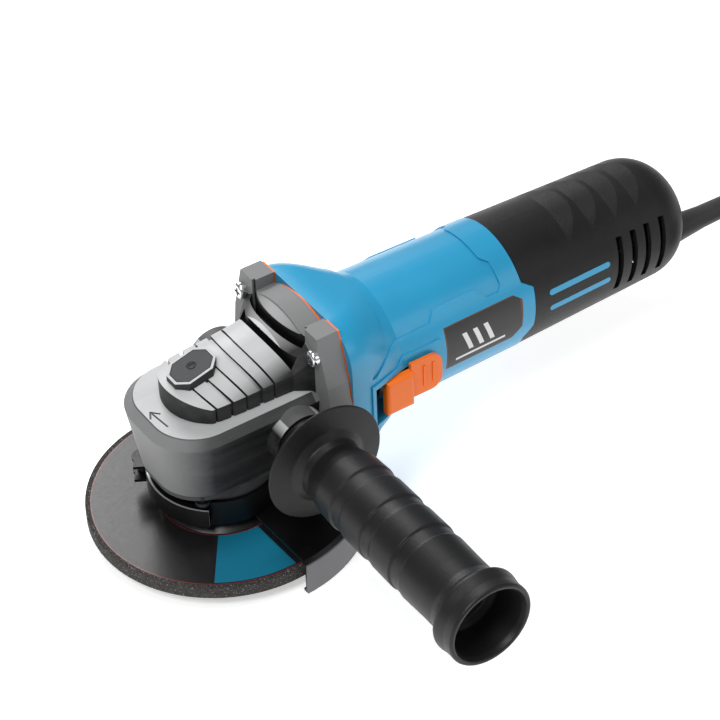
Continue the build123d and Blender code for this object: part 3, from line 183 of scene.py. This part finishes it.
class Finish:
    """One material while it is built."""

    def __init__(self, name):
        self.material = bpy.data.materials.new(name)
        self.material.use_nodes = True
        self.tree = self.material.node_tree
        self.tree.nodes.clear()
        self.shader = self.tree.nodes.new("ShaderNodeBsdfPrincipled")
        output = self.tree.nodes.new("ShaderNodeOutputMaterial")
        self.tree.links.new(self.shader.outputs[0], output.inputs[0])

    def node(self, kind, settings=None, **sockets):
        """A node of a type, with its settings made first and then its sockets filled."""
        made = self.tree.nodes.new(kind)
        for key, value in (settings or {}).items():
            setattr(made, key, value)
        for key, value in sockets.items():
            plug(self.tree, made.inputs[key.replace("_", " ")], value)
        return made

    def value(self, socket):
        return Value(self.tree, socket)

    def place(self):
        return self.node("ShaderNodeTexCoord").outputs["Object"]

    def xyz(self):
        parts = self.node("ShaderNodeSeparateXYZ", Vector=self.place())
        return [self.value(part) for part in parts.outputs]

    def normal_xyz(self):
        normal = self.node("ShaderNodeNewGeometry").outputs["Normal"]
        parts = self.node("ShaderNodeSeparateXYZ", Vector=normal)
        return [self.value(part) for part in parts.outputs]

    def noise(self, scale, detail=3.0, rough=0.55, vector=None):
        made = self.node("ShaderNodeTexNoise", Vector=vector or self.place(), Scale=scale, Detail=detail,
                         Roughness=rough)
        return self.value(made.outputs["Fac"])

    def cells(self, scale):
        made = self.node("ShaderNodeTexVoronoi", Vector=self.place(), Scale=scale)
        return self.value(made.outputs["Distance"])

    def stretched(self, x, y, z):
        return self.node("ShaderNodeMapping", Vector=self.place(), Scale=(x, y, z)).outputs[0]

    def mix(self, share, first, second):
        made = self.node("ShaderNodeMix", {"data_type": "RGBA"})
        plug(self.tree, made.inputs[0], share)
        plug(self.tree, made.inputs[6], first)
        plug(self.tree, made.inputs[7], second)
        return made.outputs[2]

    def bump(self, height, depth):
        """Normal of a height field whose full swing is depth metres."""
        return self.node("ShaderNodeBump", Height=height, Strength=1.0, Distance=depth).outputs[0]

    def done(self, **sockets):
        for key, value in sockets.items():
            plug(self.tree, self.shader.inputs[key.replace("_", " ")], value)
        return self.material


# ---------------------------------------------------------------- finishes
def moulded_plastic(name, colour, rough=0.42, grain=2600.0, depth=0.00004, variation=0.10, coat=0.0):
    """Spark-textured moulding: fine grain, slow colour drift and handling smears in the gloss."""
    f = Finish(name)
    drift = f.noise(14.0, 4.0)
    smear = f.noise(38.0, 5.0, 0.65, f.stretched(0.35, 1.0, 1.0))
    fine = f.noise(grain, 2.0, 0.6)
    dark = [c * (1 - variation * 1.4) for c in colour]
    light = [min(1.0, c * (1 + variation) + 0.004) for c in colour]
    base = f.mix(drift.ramp(0.3, 0.7), dark, light)
    speck = f.noise(900.0, 1.0).ramp(0.72, 0.80)
    base = f.mix(speck * 0.10, base, [min(1.0, c * 1.6 + 0.02) for c in colour])
    return f.done(Base_Color=base, Roughness=(smear * 0.22 + (rough - 0.10) + fine * 0.05).clamp(),
                  Normal=f.bump(fine + f.cells(grain * 0.45) * 0.5, depth), Coat_Weight=coat,
                  Coat_Roughness=0.25, Specular_IOR_Level=0.3)


def shell_blue(name, colour):
    """Blue body: satin moulding with a faint lighter bloom and a soft clear sheen."""
    f = Finish(name)
    drift = f.noise(9.0, 4.0)
    fine = f.noise(3200.0, 2.0)
    scuff = f.noise(120.0, 6.0, 0.7, f.stretched(0.25, 1.0, 1.0)).ramp(0.63, 0.72)
    base = f.mix(drift.ramp(0.3, 0.7), [c * 0.90 for c in colour], [min(1.0, c * 1.08) for c in colour])
    base = f.mix(scuff * 0.08, base, (0.45, 0.62, 0.72))
    return f.done(Base_Color=base, Roughness=(0.30 + drift * 0.10 + scuff * 0.12 + fine * 0.04).clamp(),
                  Normal=f.bump(fine, 0.000025), Coat_Weight=0.25, Coat_Roughness=0.2)


def head_casting(name, pad, wall):
    """Gear head: satin grey pads and ledge, darker flange and chamfer, near-black sides with painted light on
    the nose wall, and slots painted near-black as shade.
    """
    f = Finish(name)
    nx, _, nz = f.normal_xyz()
    x, y, z = f.xyz()
    orange_peel = f.noise(700.0, 2.0)
    brushed = f.noise(160.0, 3.0, 0.6, f.stretched(0.12, 1.0, 1.0))
    cloud = f.noise(22.0, 4.0)
    up = nz.ramp(0.55, 0.80)
    # Painted light: the nose wall turns lighter the more it faces forward, standing for the light that falls
    # on it.
    nose_painted_light = (nx * -1.0).ramp(0.20, 0.95) * z.below(NOSE_TOP_Z) * x.below(NOSE_END_X) * 0.42
    flange = x.above(FLANGE_X)
    chamfer_low, chamfer_high = LEDGE_CHAMFER_Z
    chamfered = z.above(chamfer_low) * z.below(chamfer_high) * x.below(LEDGE_EDGE_X)
    share = (up * (1 - chamfered * 0.82) * (1 - flange) + nose_painted_light + flange * 0.40).clamp()
    base = f.mix(share, wall, pad)
    base = f.mix((cloud - 0.45).clamp() * 0.30 + brushed.ramp(0.4, 0.8) * 0.14, base, [c * 0.5 for c in pad])
    pit = f.noise(420.0, 3.0).ramp(0.72, 0.80)
    base = f.mix(pit * 0.12, base, (0.7, 0.7, 0.7))
    # Painted shade: the vent slots are coloured near-black to stand for the shadow inside them.
    for middle, width in SLOT_ARCS:
        reach = ((x - middle - PAD_CURVE) ** 2.0 + y * y).sqrt()
        slot_painted_shade = reach.below(PAD_CURVE - 0.00005) * reach.above(PAD_CURVE - width - 0.00008)
        slot_painted_shade = slot_painted_shade * abs(y).below(SLOT_HALF_SPAN) * z.above(SLOT_LOWEST_Z)
        base = f.mix(slot_painted_shade, base, (0.002, 0.002, 0.002))
    return f.done(Base_Color=base, Roughness=(0.44 + cloud * 0.14 + orange_peel * 0.06).clamp(),
                  Metallic=share * 0.2, Specular_IOR_Level=0.35,
                  Normal=f.bump(orange_peel + brushed * 0.5, 0.00005))


def machined_steel(name, colour, rough=0.26, turned=True):
    """Turned or ground steel: fine tool lines, a little oil stain."""
    f = Finish(name)
    lines = f.noise(60.0, 3.0, 0.6, f.stretched(1.0, 1.0, 60.0) if turned else f.stretched(40.0, 1.0, 1.0))
    stain = f.noise(45.0, 5.0, 0.65)
    base = f.mix(stain.ramp(0.45, 0.75) * 0.35, colour, [c * 0.55 for c in colour])
    return f.done(Base_Color=base, Metallic=1.0, Roughness=(rough + lines * 0.16 + stain * 0.08).clamp(),
                  Normal=f.bump(lines, 0.00003))


def plated_screw(name):
    """Bright zinc-nickel plate with fine dulling."""
    f = Finish(name)
    dull = f.noise(380.0, 4.0)
    return f.done(Base_Color=f.mix(dull.ramp(0.4, 0.8), (0.82, 0.82, 0.83), (0.55, 0.56, 0.58)), Metallic=1.0,
                  Roughness=(0.10 + dull * 0.22).clamp(), Normal=f.bump(dull, 0.00002))


def guard_paint(name, highlight_radius=NO_HIGHLIGHT_RADIUS):
    """Black stove enamel on sheet steel: orange peel, grey skirt and, at the given radius, a painted
    highlight line standing for light on the lever's upper edge.
    """
    f = Finish(name)
    x, y, z = f.xyz()
    radius = (x * x + y * y).sqrt()
    skirt = radius.ramp(*SKIRT_RADII) * z.below(SKIRT_TOP_Z)
    peel = f.noise(520.0, 2.0)
    rub = f.noise(60.0, 6.0, 0.7)
    base = f.mix(skirt * 0.8, (0.003, 0.003, 0.0035), (0.22, 0.22, 0.23))
    base = f.mix(rub.ramp(0.66, 0.80) * 0.12, base, (0.14, 0.14, 0.15))
    # Painted highlight: a light grey line at the given radius stands for light catching the lever's upper
    # edge.
    edge = radius.band(highlight_radius, 0.00035, 0.0002)
    base = f.mix(edge, base, (0.62, 0.62, 0.63))
    return f.done(Base_Color=base, Specular_IOR_Level=0.3, Metallic=(skirt * 0.4 + edge * 0.6).clamp(),
                  Roughness=(0.22 + rub * 0.22 + skirt * 0.12).clamp(), Normal=f.bump(peel, 0.00006))


def wheel_face(name, teal, dark):
    """Abrasive wheel: printed dark disc with thin red rings and a teal sector, open grit on the rim."""
    f = Finish(name)
    x, y, _ = f.xyz()
    nz = f.normal_xyz()[2]
    radius = (x * x + y * y).sqrt()
    angle = y.math("ARCTAN2", y, x)
    printed = radius.below(PRINT_RADIUS) * nz.above(0.25)
    inner, outer = SECTOR_RADII
    sector = abs(angle - SECTOR_ANGLE).below(SECTOR_HALF) * radius.above(inner) * radius.below(outer)
    outer_ring, inner_ring = (radius.band(middle, 0.00010, 0.00006) for middle in RING_RADII)
    grit = f.cells(1500.0)
    coarse = f.noise(1100.0, 3.0, 0.7)
    glint = f.noise(1700.0, 1.0).ramp(0.66, 0.72)
    raw = f.mix(coarse.ramp(0.35, 0.65), (0.008, 0.008, 0.008), (0.06, 0.055, 0.05))
    raw = f.mix(glint, raw, (0.32, 0.30, 0.28))
    mottled = f.mix(f.noise(240.0, 4.0).ramp(0.4, 0.7), [c * 0.85 for c in dark], [c * 1.15 for c in dark])
    ink = f.mix(sector, mottled, f.mix(f.noise(90.0, 3.0), [c * 0.9 for c in teal], teal))
    ink = f.mix((outer_ring + inner_ring).clamp(), ink, (0.30, 0.03, 0.035))
    net = f.noise(600.0, 1.0, 0.5)
    relief = grit * (1 - printed) + net * printed * 0.06 + coarse * (1 - printed)
    return f.done(Base_Color=f.mix(printed, raw, ink),
                  Roughness=(0.85 - printed * 0.55 + net * 0.08).clamp(), Normal=f.bump(relief, 0.00035))


def label_plate(name):
    """Dark insert with a thin brown edge line and three generic raised bars."""
    f = Finish(name)
    x, _, z = f.xyz()
    rel = z - MOTOR_Z
    edge = (x.below(PLATE_X[0]) + x.above(PLATE_X[1]) + rel.above(PLATE_Z[1]) + rel.below(PLATE_Z[0])).clamp()
    slant = x + rel * 0.35
    bars = 0.0
    for middle in BAR_MIDDLES:
        bars = bars + slant.band(middle, 0.0012, 0.0001)
    bars = bars * rel.band(0.0030, 0.0048, 0.0001)
    line = rel.band(-0.0045, 0.0006, 0.0001) * x.band(BAR_MIDDLES[1], 0.0140, 0.0001)
    grain = f.noise(1800.0, 2.0)
    base = f.mix(f.noise(60.0, 4.0), (0.018, 0.017, 0.017), (0.028, 0.026, 0.025))
    base = f.mix(edge, base, (0.11, 0.045, 0.025))
    base = f.mix((bars + line).clamp(), base, (0.72, 0.72, 0.72))
    return f.done(Base_Color=base, Roughness=(0.38 + grain * 0.12).clamp(),
                  Normal=f.bump(grain * 0.2 + bars * 0.8, 0.00006))


def rubber(name, colour, rough=0.55, grain=1500.0):
    """Soft black rubber with bloom and fine pores."""
    f = Finish(name)
    bloom = f.noise(30.0, 5.0, 0.6)
    pore = f.noise(grain, 3.0, 0.6)
    base = f.mix(bloom.ramp(0.35, 0.75), colour, [c * 1.9 + 0.004 for c in colour])
    return f.done(Base_Color=base, Roughness=(rough + bloom * 0.18 - pore * 0.05).clamp(),
                  Normal=f.bump(pore, 0.00005), Sheen_Weight=0.08)


def wound_copper(name):
    """Enamelled wire bundles: fine strands seen along the winding."""
    f = Finish(name)
    strands = f.noise(30.0, 2.0, 0.5, f.stretched(90.0, 8.0, 8.0))
    base = f.mix(strands.ramp(0.35, 0.65), (0.16, 0.05, 0.02), (0.62, 0.27, 0.12))
    return f.done(Base_Color=base, Metallic=0.8, Roughness=(0.28 + strands * 0.2).clamp(),
                  Normal=f.bump(strands, 0.0003))


def laminated_core(name):
    """Stacked electrical sheet: thin lines across the motor axis."""
    f = Finish(name)
    x = f.xyz()[0]
    lines = (x.math("PINGPONG", x, SHEET) / SHEET).clamp()
    base = f.mix(lines, (0.10, 0.10, 0.10), (0.36, 0.36, 0.37))
    return f.done(Base_Color=base, Metallic=0.9, Roughness=(0.35 + f.noise(80.0) * 0.2).clamp(),
                  Normal=f.bump(lines, 0.00006))


# ---------------------------------------------------------------- settings
class GrinderColours(bpy.types.PropertyGroup):
    """Colours that a user would change."""
    body: FloatVectorProperty(name="Body", description="Blue moulding", subtype="COLOR",
                              default=(0.012, 0.290, 0.520), min=0, max=1)
    slider: FloatVectorProperty(name="Slider", description="Orange switch knob", subtype="COLOR",
                                default=(0.900, 0.165, 0.004), min=0, max=1)
    pads: FloatVectorProperty(name="Head", description="Upward faces of the gear head", subtype="COLOR",
                              default=(0.47, 0.475, 0.48), min=0, max=1)
    head_walls: FloatVectorProperty(name="Head walls", description="Steep faces of the gear head",
                                    subtype="COLOR", default=(0.006, 0.006, 0.0065), min=0, max=1)
    sleeve: FloatVectorProperty(name="Sleeve", description="Black rear moulding", subtype="COLOR",
                                default=(0.0075, 0.0075, 0.008), min=0, max=1)
    wheel_print: FloatVectorProperty(name="Wheel print", description="Teal sector on the wheel",
                                     subtype="COLOR", default=(0.006, 0.165, 0.270), min=0, max=1)


class GrinderSizes(bpy.types.PropertyGroup):
    """Sizes of the pieces that are made here."""
    cord_diameter: FloatProperty(name="Cord diameter", description="Outside of the jacket", unit="LENGTH",
                                 default=0.008, min=0.004, max=0.012)
    cord_length: FloatProperty(name="Cord length", description="Relief to plug", unit="LENGTH",
                               default=1.85, min=0.5, max=4.0)
    coil_steps: IntProperty(name="Coil points", description="Spline points in one turn of the coil",
                            default=20, min=12, max=48)
    grip_steps: IntProperty(name="Grip steps", description="Columns round the side handle",
                            default=192, min=48, max=384)


class GrinderStage(bpy.types.PropertyGroup):
    """Camera and light."""
    azimuth: FloatProperty(name="Azimuth", description="Turn of the camera round the object",
                           subtype="ANGLE", default=math.radians(-32.6))
    elevation: FloatProperty(name="Elevation", description="Height of the camera", subtype="ANGLE",
                             default=math.radians(39.95))
    roll: FloatProperty(name="Roll", description="Tilt of the camera", subtype="ANGLE",
                        default=math.radians(-2.35))
    eye: FloatVectorProperty(name="Eye", description="Place of the camera", subtype="TRANSLATION",
                             default=(-0.4138, -0.7685, 0.8148))
    lens: FloatProperty(name="Lens", description="Focal length", default=129.6, min=20, max=400)
    light: FloatProperty(name="Light", description="Strength of the soft lights", default=1.0, min=0, max=4)


# ---------------------------------------------------------------- mesh helpers
def grid_mesh(name, points, close_v=False):
    """Mesh of a rows x columns grid of points; rows run along u and columns along v."""
    rows, columns = points.shape[:2]
    index = np.arange(rows * columns).reshape(rows, columns)
    if close_v:
        index = np.hstack([index, index[:, :1]])
    quads = np.stack([index[:-1, :-1], index[1:, :-1], index[1:, 1:], index[:-1, 1:]], axis=-1).reshape(-1, 4)
    mesh = bpy.data.meshes.new(name)
    mesh.from_pydata(points.reshape(-1, 3).tolist(), [], quads.tolist())
    mesh.shade_smooth()
    mesh.update()
    return add_piece(name, mesh)


def add_piece(name, mesh):
    piece = bpy.data.objects.new(name, mesh)
    bpy.context.scene.collection.objects.link(piece)
    return piece


def rounded_profile(points, pitch, window):
    """Polyline profile sampled every pitch along its length, with its corners rounded by a moving average."""
    p = np.array(points, float)
    run = np.concatenate([[0.0], np.cumsum(np.hypot(*np.diff(p, axis=0).T))])
    at = np.append(np.arange(0.0, run[-1], pitch), run[-1])
    dense = np.stack([np.interp(at, run, p[:, k]) for k in (0, 1)], axis=-1)
    padded = np.pad(dense, ((window // 2, window // 2), (0, 0)), mode="edge")
    weights = np.ones(window) / window
    return np.stack([np.convolve(padded[:, k], weights, "valid") for k in (0, 1)], axis=-1)


def paint(material, *names):
    """Gives CAD nodes a finish."""
    for name in names:
        node = frame["nodes"][name]
        node.data.materials.clear()
        node.data.materials.append(material)
        node.data.shade_smooth()


# ---------------------------------------------------------------- stage
def camera_axes(stage):
    """Right, up and back directions of the camera from its azimuth, elevation and roll."""
    az, el, roll = stage.azimuth, stage.elevation, stage.roll
    back = Vector((math.sin(az) * math.cos(el), -math.cos(az) * math.cos(el), math.sin(el)))
    right = Vector((math.cos(az), math.sin(az), 0.0))
    up = back.cross(right)
    turned = right * math.cos(roll) + up * math.sin(roll)
    return turned, back.cross(turned), back


class GRINDER_OT_stage(bpy.types.Operator):
    """Camera, floor and soft light."""
    bl_idname = "grinder.stage"
    bl_label = "Stage"

    def execute(self, context):
        stage = context.scene.grinder_stage
        right, up, back = camera_axes(stage)
        camera = bpy.data.objects.new("camera", bpy.data.cameras.new("camera"))
        camera.data.lens = stage.lens
        camera.data.sensor_width = 36.0
        camera.data.clip_end = 20.0
        facing = Matrix((right, up, back)).transposed()
        camera.matrix_world = Matrix.Translation(Vector(stage.eye)) @ facing.to_4x4()
        context.scene.collection.objects.link(camera)
        context.scene.camera = camera
        context.scene.view_settings.view_transform = "Standard"
        self.make_floor()
        self.make_lights(stage)
        return {"FINISHED"}

    def make_floor(self):
        """Flat square floor just under the lowest piece."""
        side, height = 6.0, CAD_BOX[0][2] - 0.0002
        corner = np.linspace(-side, side, 3)
        points = np.stack([*np.meshgrid(corner, corner, indexing="ij"), np.full((3, 3), height)], axis=-1)
        floor = grid_mesh("floor", points)
        f = Finish("pale floor")
        cloud = f.noise(3.0)
        pale = f.mix(cloud, (0.86, 0.86, 0.86), (0.90, 0.90, 0.90))
        floor.data.materials.append(f.done(Base_Color=pale, Roughness=(0.6 + cloud * 0.1).clamp(),
                                           Emission_Color=pale, Emission_Strength=0.55))

    def make_lights(self, stage):
        """Large key from the front left, fill from the right, rim strip behind and an even sky."""
        world = bpy.data.worlds.new("sky")
        world.use_nodes = True
        sky = world.node_tree.nodes["Background"]
        sky.inputs["Color"].default_value = (1.0, 1.0, 1.0, 1.0)
        sky.inputs["Strength"].default_value = 0.24 * stage.light
        bpy.context.scene.world = world
        plans = (("key", (-0.9, -0.5, 1.5), 0.6, 16.0), ("fill", (0.9, -1.3, 0.9), 0.8, 3.0),
                 ("rim", (0.3, 1.4, 1.1), 0.8, 17.0), ("top", (0.1, 0.0, 1.9), 0.5, 11.0))
        for name, place, size, power in plans:
            lamp = bpy.data.lights.new(name, "AREA")
            lamp.shape = "SQUARE"
            lamp.size = size
            lamp.energy = power * stage.light
            holder = bpy.data.objects.new(name, lamp)
            holder.location = place
            aim = Vector((0.1, 0.0, 0.05)) - Vector(place)
            holder.rotation_euler = aim.to_track_quat("-Z", "Y").to_euler()
            bpy.context.scene.collection.objects.link(holder)


# ---------------------------------------------------------------- cord
CORD_ROUTE = [
    (312, 0, 42.5),
    (330, 0, 42.5),
    (360, 0, 36.5),
    (378.3, -7.6, 26.5),
    (392.4, -21.7, 14.5),
    (400, -40, 5.5),
    (400, -60, 2.5),
    (400, -72, 2.5),
]
COIL_CENTRE = (352.0, -72.0)
COIL_START = (48.0, 2.5)
PLUG_PLACE = (356.2, -118.4, 39.5)
PLUG_TURN = math.radians(195.0)
PLUG_HALF = 22.0
INWARD = ((300.0, 360.0, -1), (860.0, 920.0, 1), (1445.0, 1505.0, -1), (2000.0, 2060.0, 1))
UPWARD = ((580.0, 640.0, 1), (1150.0, 1210.0, 1), (1740.0, 1795.0, 1), (2090.0, 2215.0, 1.5))
COIL_END = 2205.0


def eased(progress, moves):
    """Sum of smooth steps, each between two amounts of turning."""
    total = np.zeros_like(progress)
    for start, stop, amount in moves:
        t = np.clip((progress - start) / (stop - start), 0, 1)
        total += amount * t * t * (3 - 2 * t)
    return total


def coil_points(diameter, steps):
    """Clockwise turns: two side by side and four high, each shift in its own sector so none meet."""
    turn = 360.0 / steps
    progress = np.arange(turn, COIL_END, turn)
    swell = 1 / math.cos(math.pi / steps)
    radius = (COIL_START[0] + diameter * eased(progress, INWARD)) * swell
    height = COIL_START[1] + diameter * eased(progress, UPWARD)
    angle = -np.radians(progress)
    x = COIL_CENTRE[0] + radius * np.cos(angle)
    y = COIL_CENTRE[1] + radius * np.sin(angle)
    return np.stack([x, y, height], axis=-1).tolist()


class GRINDER_OT_cord(bpy.types.Operator):
    """Power cord with its coil, and the plug's finish."""
    bl_idname = "grinder.cord"
    bl_label = "Power cord"

    def execute(self, context):
        sizes = context.scene.grinder_sizes
        diameter = sizes.cord_diameter / MM
        ahead = (math.cos(PLUG_TURN), math.sin(PLUG_TURN))
        entry = [PLUG_PLACE[i] - (PLUG_HALF - 1.0) * ahead[i] for i in range(2)] + [PLUG_PLACE[2]]
        before = [PLUG_PLACE[i] - (PLUG_HALF + 9.0) * ahead[i] for i in range(2)] + [PLUG_PLACE[2] - 0.8]
        route = [list(p) for p in CORD_ROUTE] + coil_points(diameter, sizes.coil_steps) + [before, entry]
        curve = bpy.data.curves.new("power_cord_jacket", "CURVE")
        curve.dimensions = "3D"
        curve.bevel_depth = sizes.cord_diameter / 2
        curve.bevel_resolution = 6
        curve.resolution_u = 10
        curve.use_fill_caps = True
        spline = curve.splines.new("NURBS")
        spline.points.add(len(route) - 1)
        flat = np.hstack([np.array(route) * MM, np.ones((len(route), 1))])
        spline.points.foreach_set("co", flat.ravel())
        spline.order_u = 3
        spline.use_endpoint_u = True
        cord = add_piece("power_cord_jacket", curve)
        cord.data.materials.append(rubber("cord jacket", (0.012, 0.012, 0.013), 0.42, 2200.0))
        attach(cord, "housing")
        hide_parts("power_cord", "cord_coil")
        paint(rubber("plug rubber", (0.014, 0.014, 0.015), 0.45), "plug_body", "strain_relief")
        paint(machined_steel("plug brass", (0.75, 0.58, 0.28), 0.2, False), "plug_blades")
        return {"FINISHED"}


class GRINDER_OT_shells(bpy.types.Operator):
    """Finishes of the plastic shells and their trim."""
    bl_idname = "grinder.shells"
    bl_label = "Shells"

    def execute(self, context):
        c = context.scene.grinder_colours
        paint(shell_blue("blue shell", tuple(c.body)), "motor_housing")
        paint(shell_blue("blue stripe", tuple(c.body)), "stripe_inserts")
        paint(moulded_plastic("black sleeve", tuple(c.sleeve), 0.44, 1500.0, 0.00008, 0.25), "rear_housing",
              "cord_clamp", "switch_rod")
        paint(moulded_plastic("orange slider", tuple(c.slider), 0.36, 3000.0, 0.00002, 0.05, 0.2),
              "switch_knob", "air_baffle")
        paint(label_plate("name plate"), "label_plates")
        paint(moulded_plastic("grey moulding", (0.035, 0.036, 0.039), 0.42, 2200.0), "lock_button",
              "switch_body", "cooling_fan")
        return {"FINISHED"}


class GRINDER_OT_head(bpy.types.Operator):
    """Finishes of the gear head, screws and bearings."""
    bl_idname = "grinder.head"
    bl_label = "Gear head"

    def execute(self, context):
        c = context.scene.grinder_colours
        paint(head_casting("head paint", tuple(c.pads), tuple(c.head_walls)), "gear_housing")
        paint(head_casting("cover casting", (0.10, 0.10, 0.105), (0.03, 0.03, 0.032)), "spindle_cover",
              "bearing_bracket")
        paint(plated_screw("bright plate"), "gear_housing_screws", "stator_screws", "cord_clamp_screws",
              "spindle_bearing_balls")
        paint(machined_steel("bearing steel", (0.62, 0.62, 0.63)), "spindle_bearing_outer",
              "spindle_bearing_inner", "front_bearing_outer", "front_bearing_inner", "rear_bearing_outer",
              "rear_bearing_inner", "lock_pin", "lock_spring", "brush_springs", "handle_stud")
        paint(machined_steel("black oxide", (0.05, 0.05, 0.055), 0.34), "spindle_cover_screws",
              "rear_housing_screw", "crown_gear", "pinion", "wheel_nut")
        paint(machined_steel("bronze bush", (0.60, 0.42, 0.20)), "top_bush", "brush_holders")
        return {"FINISHED"}


class GRINDER_OT_motor(bpy.types.Operator):
    """Finishes of the motor's inner pieces."""
    bl_idname = "grinder.motor"
    bl_label = "Motor"

    def execute(self, context):
        paint(laminated_core("core sheets"), "stator_core", "armature_core")
        paint(wound_copper("windings"), "stator_windings", "armature_windings")
        paint(machined_steel("commutator copper", (0.72, 0.38, 0.22), 0.22, False), "commutator")
        paint(machined_steel("shaft steel", (0.55, 0.55, 0.56), 0.2, False), "armature_shaft")
        paint(moulded_plastic("carbon", (0.02, 0.02, 0.022), 0.6, 900.0), "carbon_brushes")
        paint(rubber("bearing rubber", (0.012, 0.012, 0.012)), "bearing_sleeve", "lead_wires")
        paint(moulded_plastic("capacitor case", (0.35, 0.20, 0.04), 0.35), "capacitor")
        return {"FINISHED"}


class GRINDER_OT_wheel(bpy.types.Operator):
    """Finishes of the wheel and what clamps it."""
    bl_idname = "grinder.wheel"
    bl_label = "Wheel"

    def execute(self, context):
        c = context.scene.grinder_colours
        paint(wheel_face("wheel print", tuple(c.wheel_print), (0.012, 0.012, 0.013)), "grinding_wheel")
        paint(machined_steel("spindle steel", (0.58, 0.58, 0.60)), "spindle", "inner_flange", "wheel_bush")
        return {"FINISHED"}


class GRINDER_OT_guard(bpy.types.Operator):
    """Finishes of the guard, its clamp and lever."""
    bl_idname = "grinder.guard"
    bl_label = "Guard"

    def execute(self, context):
        paint(guard_paint("guard enamel"), "guard_shell", "clamp_band")
        paint(machined_steel("blackened hardware", (0.06, 0.06, 0.065), 0.34), "clamp_bolt", "clamp_bolt_nut")
        # The lever's enamel carries a painted highlight along its upper edge.
        paint(guard_paint("lever enamel with painted highlight", LEVER_HIGHLIGHT_RADIUS), "clamp_lever")
        return {"FINISHED"}


def handle_profile():
    """(y, radius) points in millimetres: hub, dish, waist, banded grip, flared collar, hollow mouth."""
    points = [(-38.05, 4.6), (-38.05, 13.0), (-46.0, 13.6), (-50.2, 17.0), (-52.6, 24.0), (-53.6, 28.6),
              (-54.2, 29.1), (-54.9, 28.8), (-55.8, 24.0), (-56.8, 18.6), (-59.2, 15.2), (-63.0, 14.4),
              (-67.5, 15.6), (-73.0, 17.0)]
    for band in (-84.0, -106.0, -128.0):
        points += [(band + 0.2, 17.4), (band - 0.1, 16.6), (band - 6.8, 16.9), (band - 7.2, 17.3)]
    return points + [(-150.0, 16.9), (-158.0, 16.9), (-162.0, 18.2), (-164.6, 20.8), (-166.0, 21.0),
                     (-171.0, 20.2), (-175.8, 20.4), (-176.8, 19.6), (-176.6, 18.2), (-174.0, 17.2),
                     (-160.0, 15.2), (-157.0, 13.0), (-156.7, 6.0), (-156.7, 0.05)]


class GRINDER_OT_handle(bpy.types.Operator):
    """Side handle as one smooth turned grip: the rounded profile swept round the handle's axis."""
    bl_idname = "grinder.handle"
    bl_label = "Side handle"

    def execute(self, context):
        columns = context.scene.grinder_sizes.grip_steps
        low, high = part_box("side_handle")
        axis_x = (low[0] + high[0]) / 2
        axis_z = (low[2] + high[2]) / 2
        y, radius = (rounded_profile(handle_profile(), 0.25, 5) * MM).T
        angle = np.linspace(0.0, 2 * math.pi, columns, endpoint=False)
        points = np.stack([axis_x + radius[:, None] * np.cos(angle), y[:, None] + 0 * angle,
                           axis_z - radius[:, None] * np.sin(angle)], axis=-1)
        grip = grid_mesh("side_handle_grip", points, close_v=True)
        black = moulded_plastic("handle plastic", (0.006, 0.006, 0.0062), 0.40, 1700.0, 0.00005, 0.25)
        grip.data.materials.append(black)
        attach(grip, "housing")
        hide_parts("side_handle")
        return {"FINISHED"}


STEPS = ("stage", "cord", "shells", "head", "motor", "wheel", "guard", "handle")


class GRINDER_PT_panel(bpy.types.Panel):
    """Lists the settings and the makers."""
    bl_idname = "GRINDER_PT_panel"
    bl_label = "Angle grinder"
    bl_space_type = "VIEW_3D"
    bl_region_type = "UI"
    bl_category = "Grinder"

    def draw(self, context):
        scene = context.scene
        for group in (scene.grinder_colours, scene.grinder_sizes, scene.grinder_stage):
            for name in group.__annotations__:
                self.layout.prop(group, name)
        for step in STEPS:
            self.layout.operator("grinder." + step)


CLASSES = (GrinderColours, GrinderSizes, GrinderStage, GRINDER_OT_stage, GRINDER_OT_cord, GRINDER_OT_shells,
           GRINDER_OT_head, GRINDER_OT_motor, GRINDER_OT_wheel, GRINDER_OT_guard, GRINDER_OT_handle,
           GRINDER_PT_panel)


def register():
    for entry in CLASSES:
        bpy.utils.register_class(entry)
    bpy.types.Scene.grinder_colours = PointerProperty(type=GrinderColours)
    bpy.types.Scene.grinder_sizes = PointerProperty(type=GrinderSizes)
    bpy.types.Scene.grinder_stage = PointerProperty(type=GrinderStage)


def unregister():
    del bpy.types.Scene.grinder_stage
    del bpy.types.Scene.grinder_sizes
    del bpy.types.Scene.grinder_colours
    for entry in reversed(CLASSES):
        bpy.utils.unregister_class(entry)


def main():
    register()
    for step in STEPS:
        getattr(bpy.ops.grinder, step)()


if __name__ == "__main__":
    main()
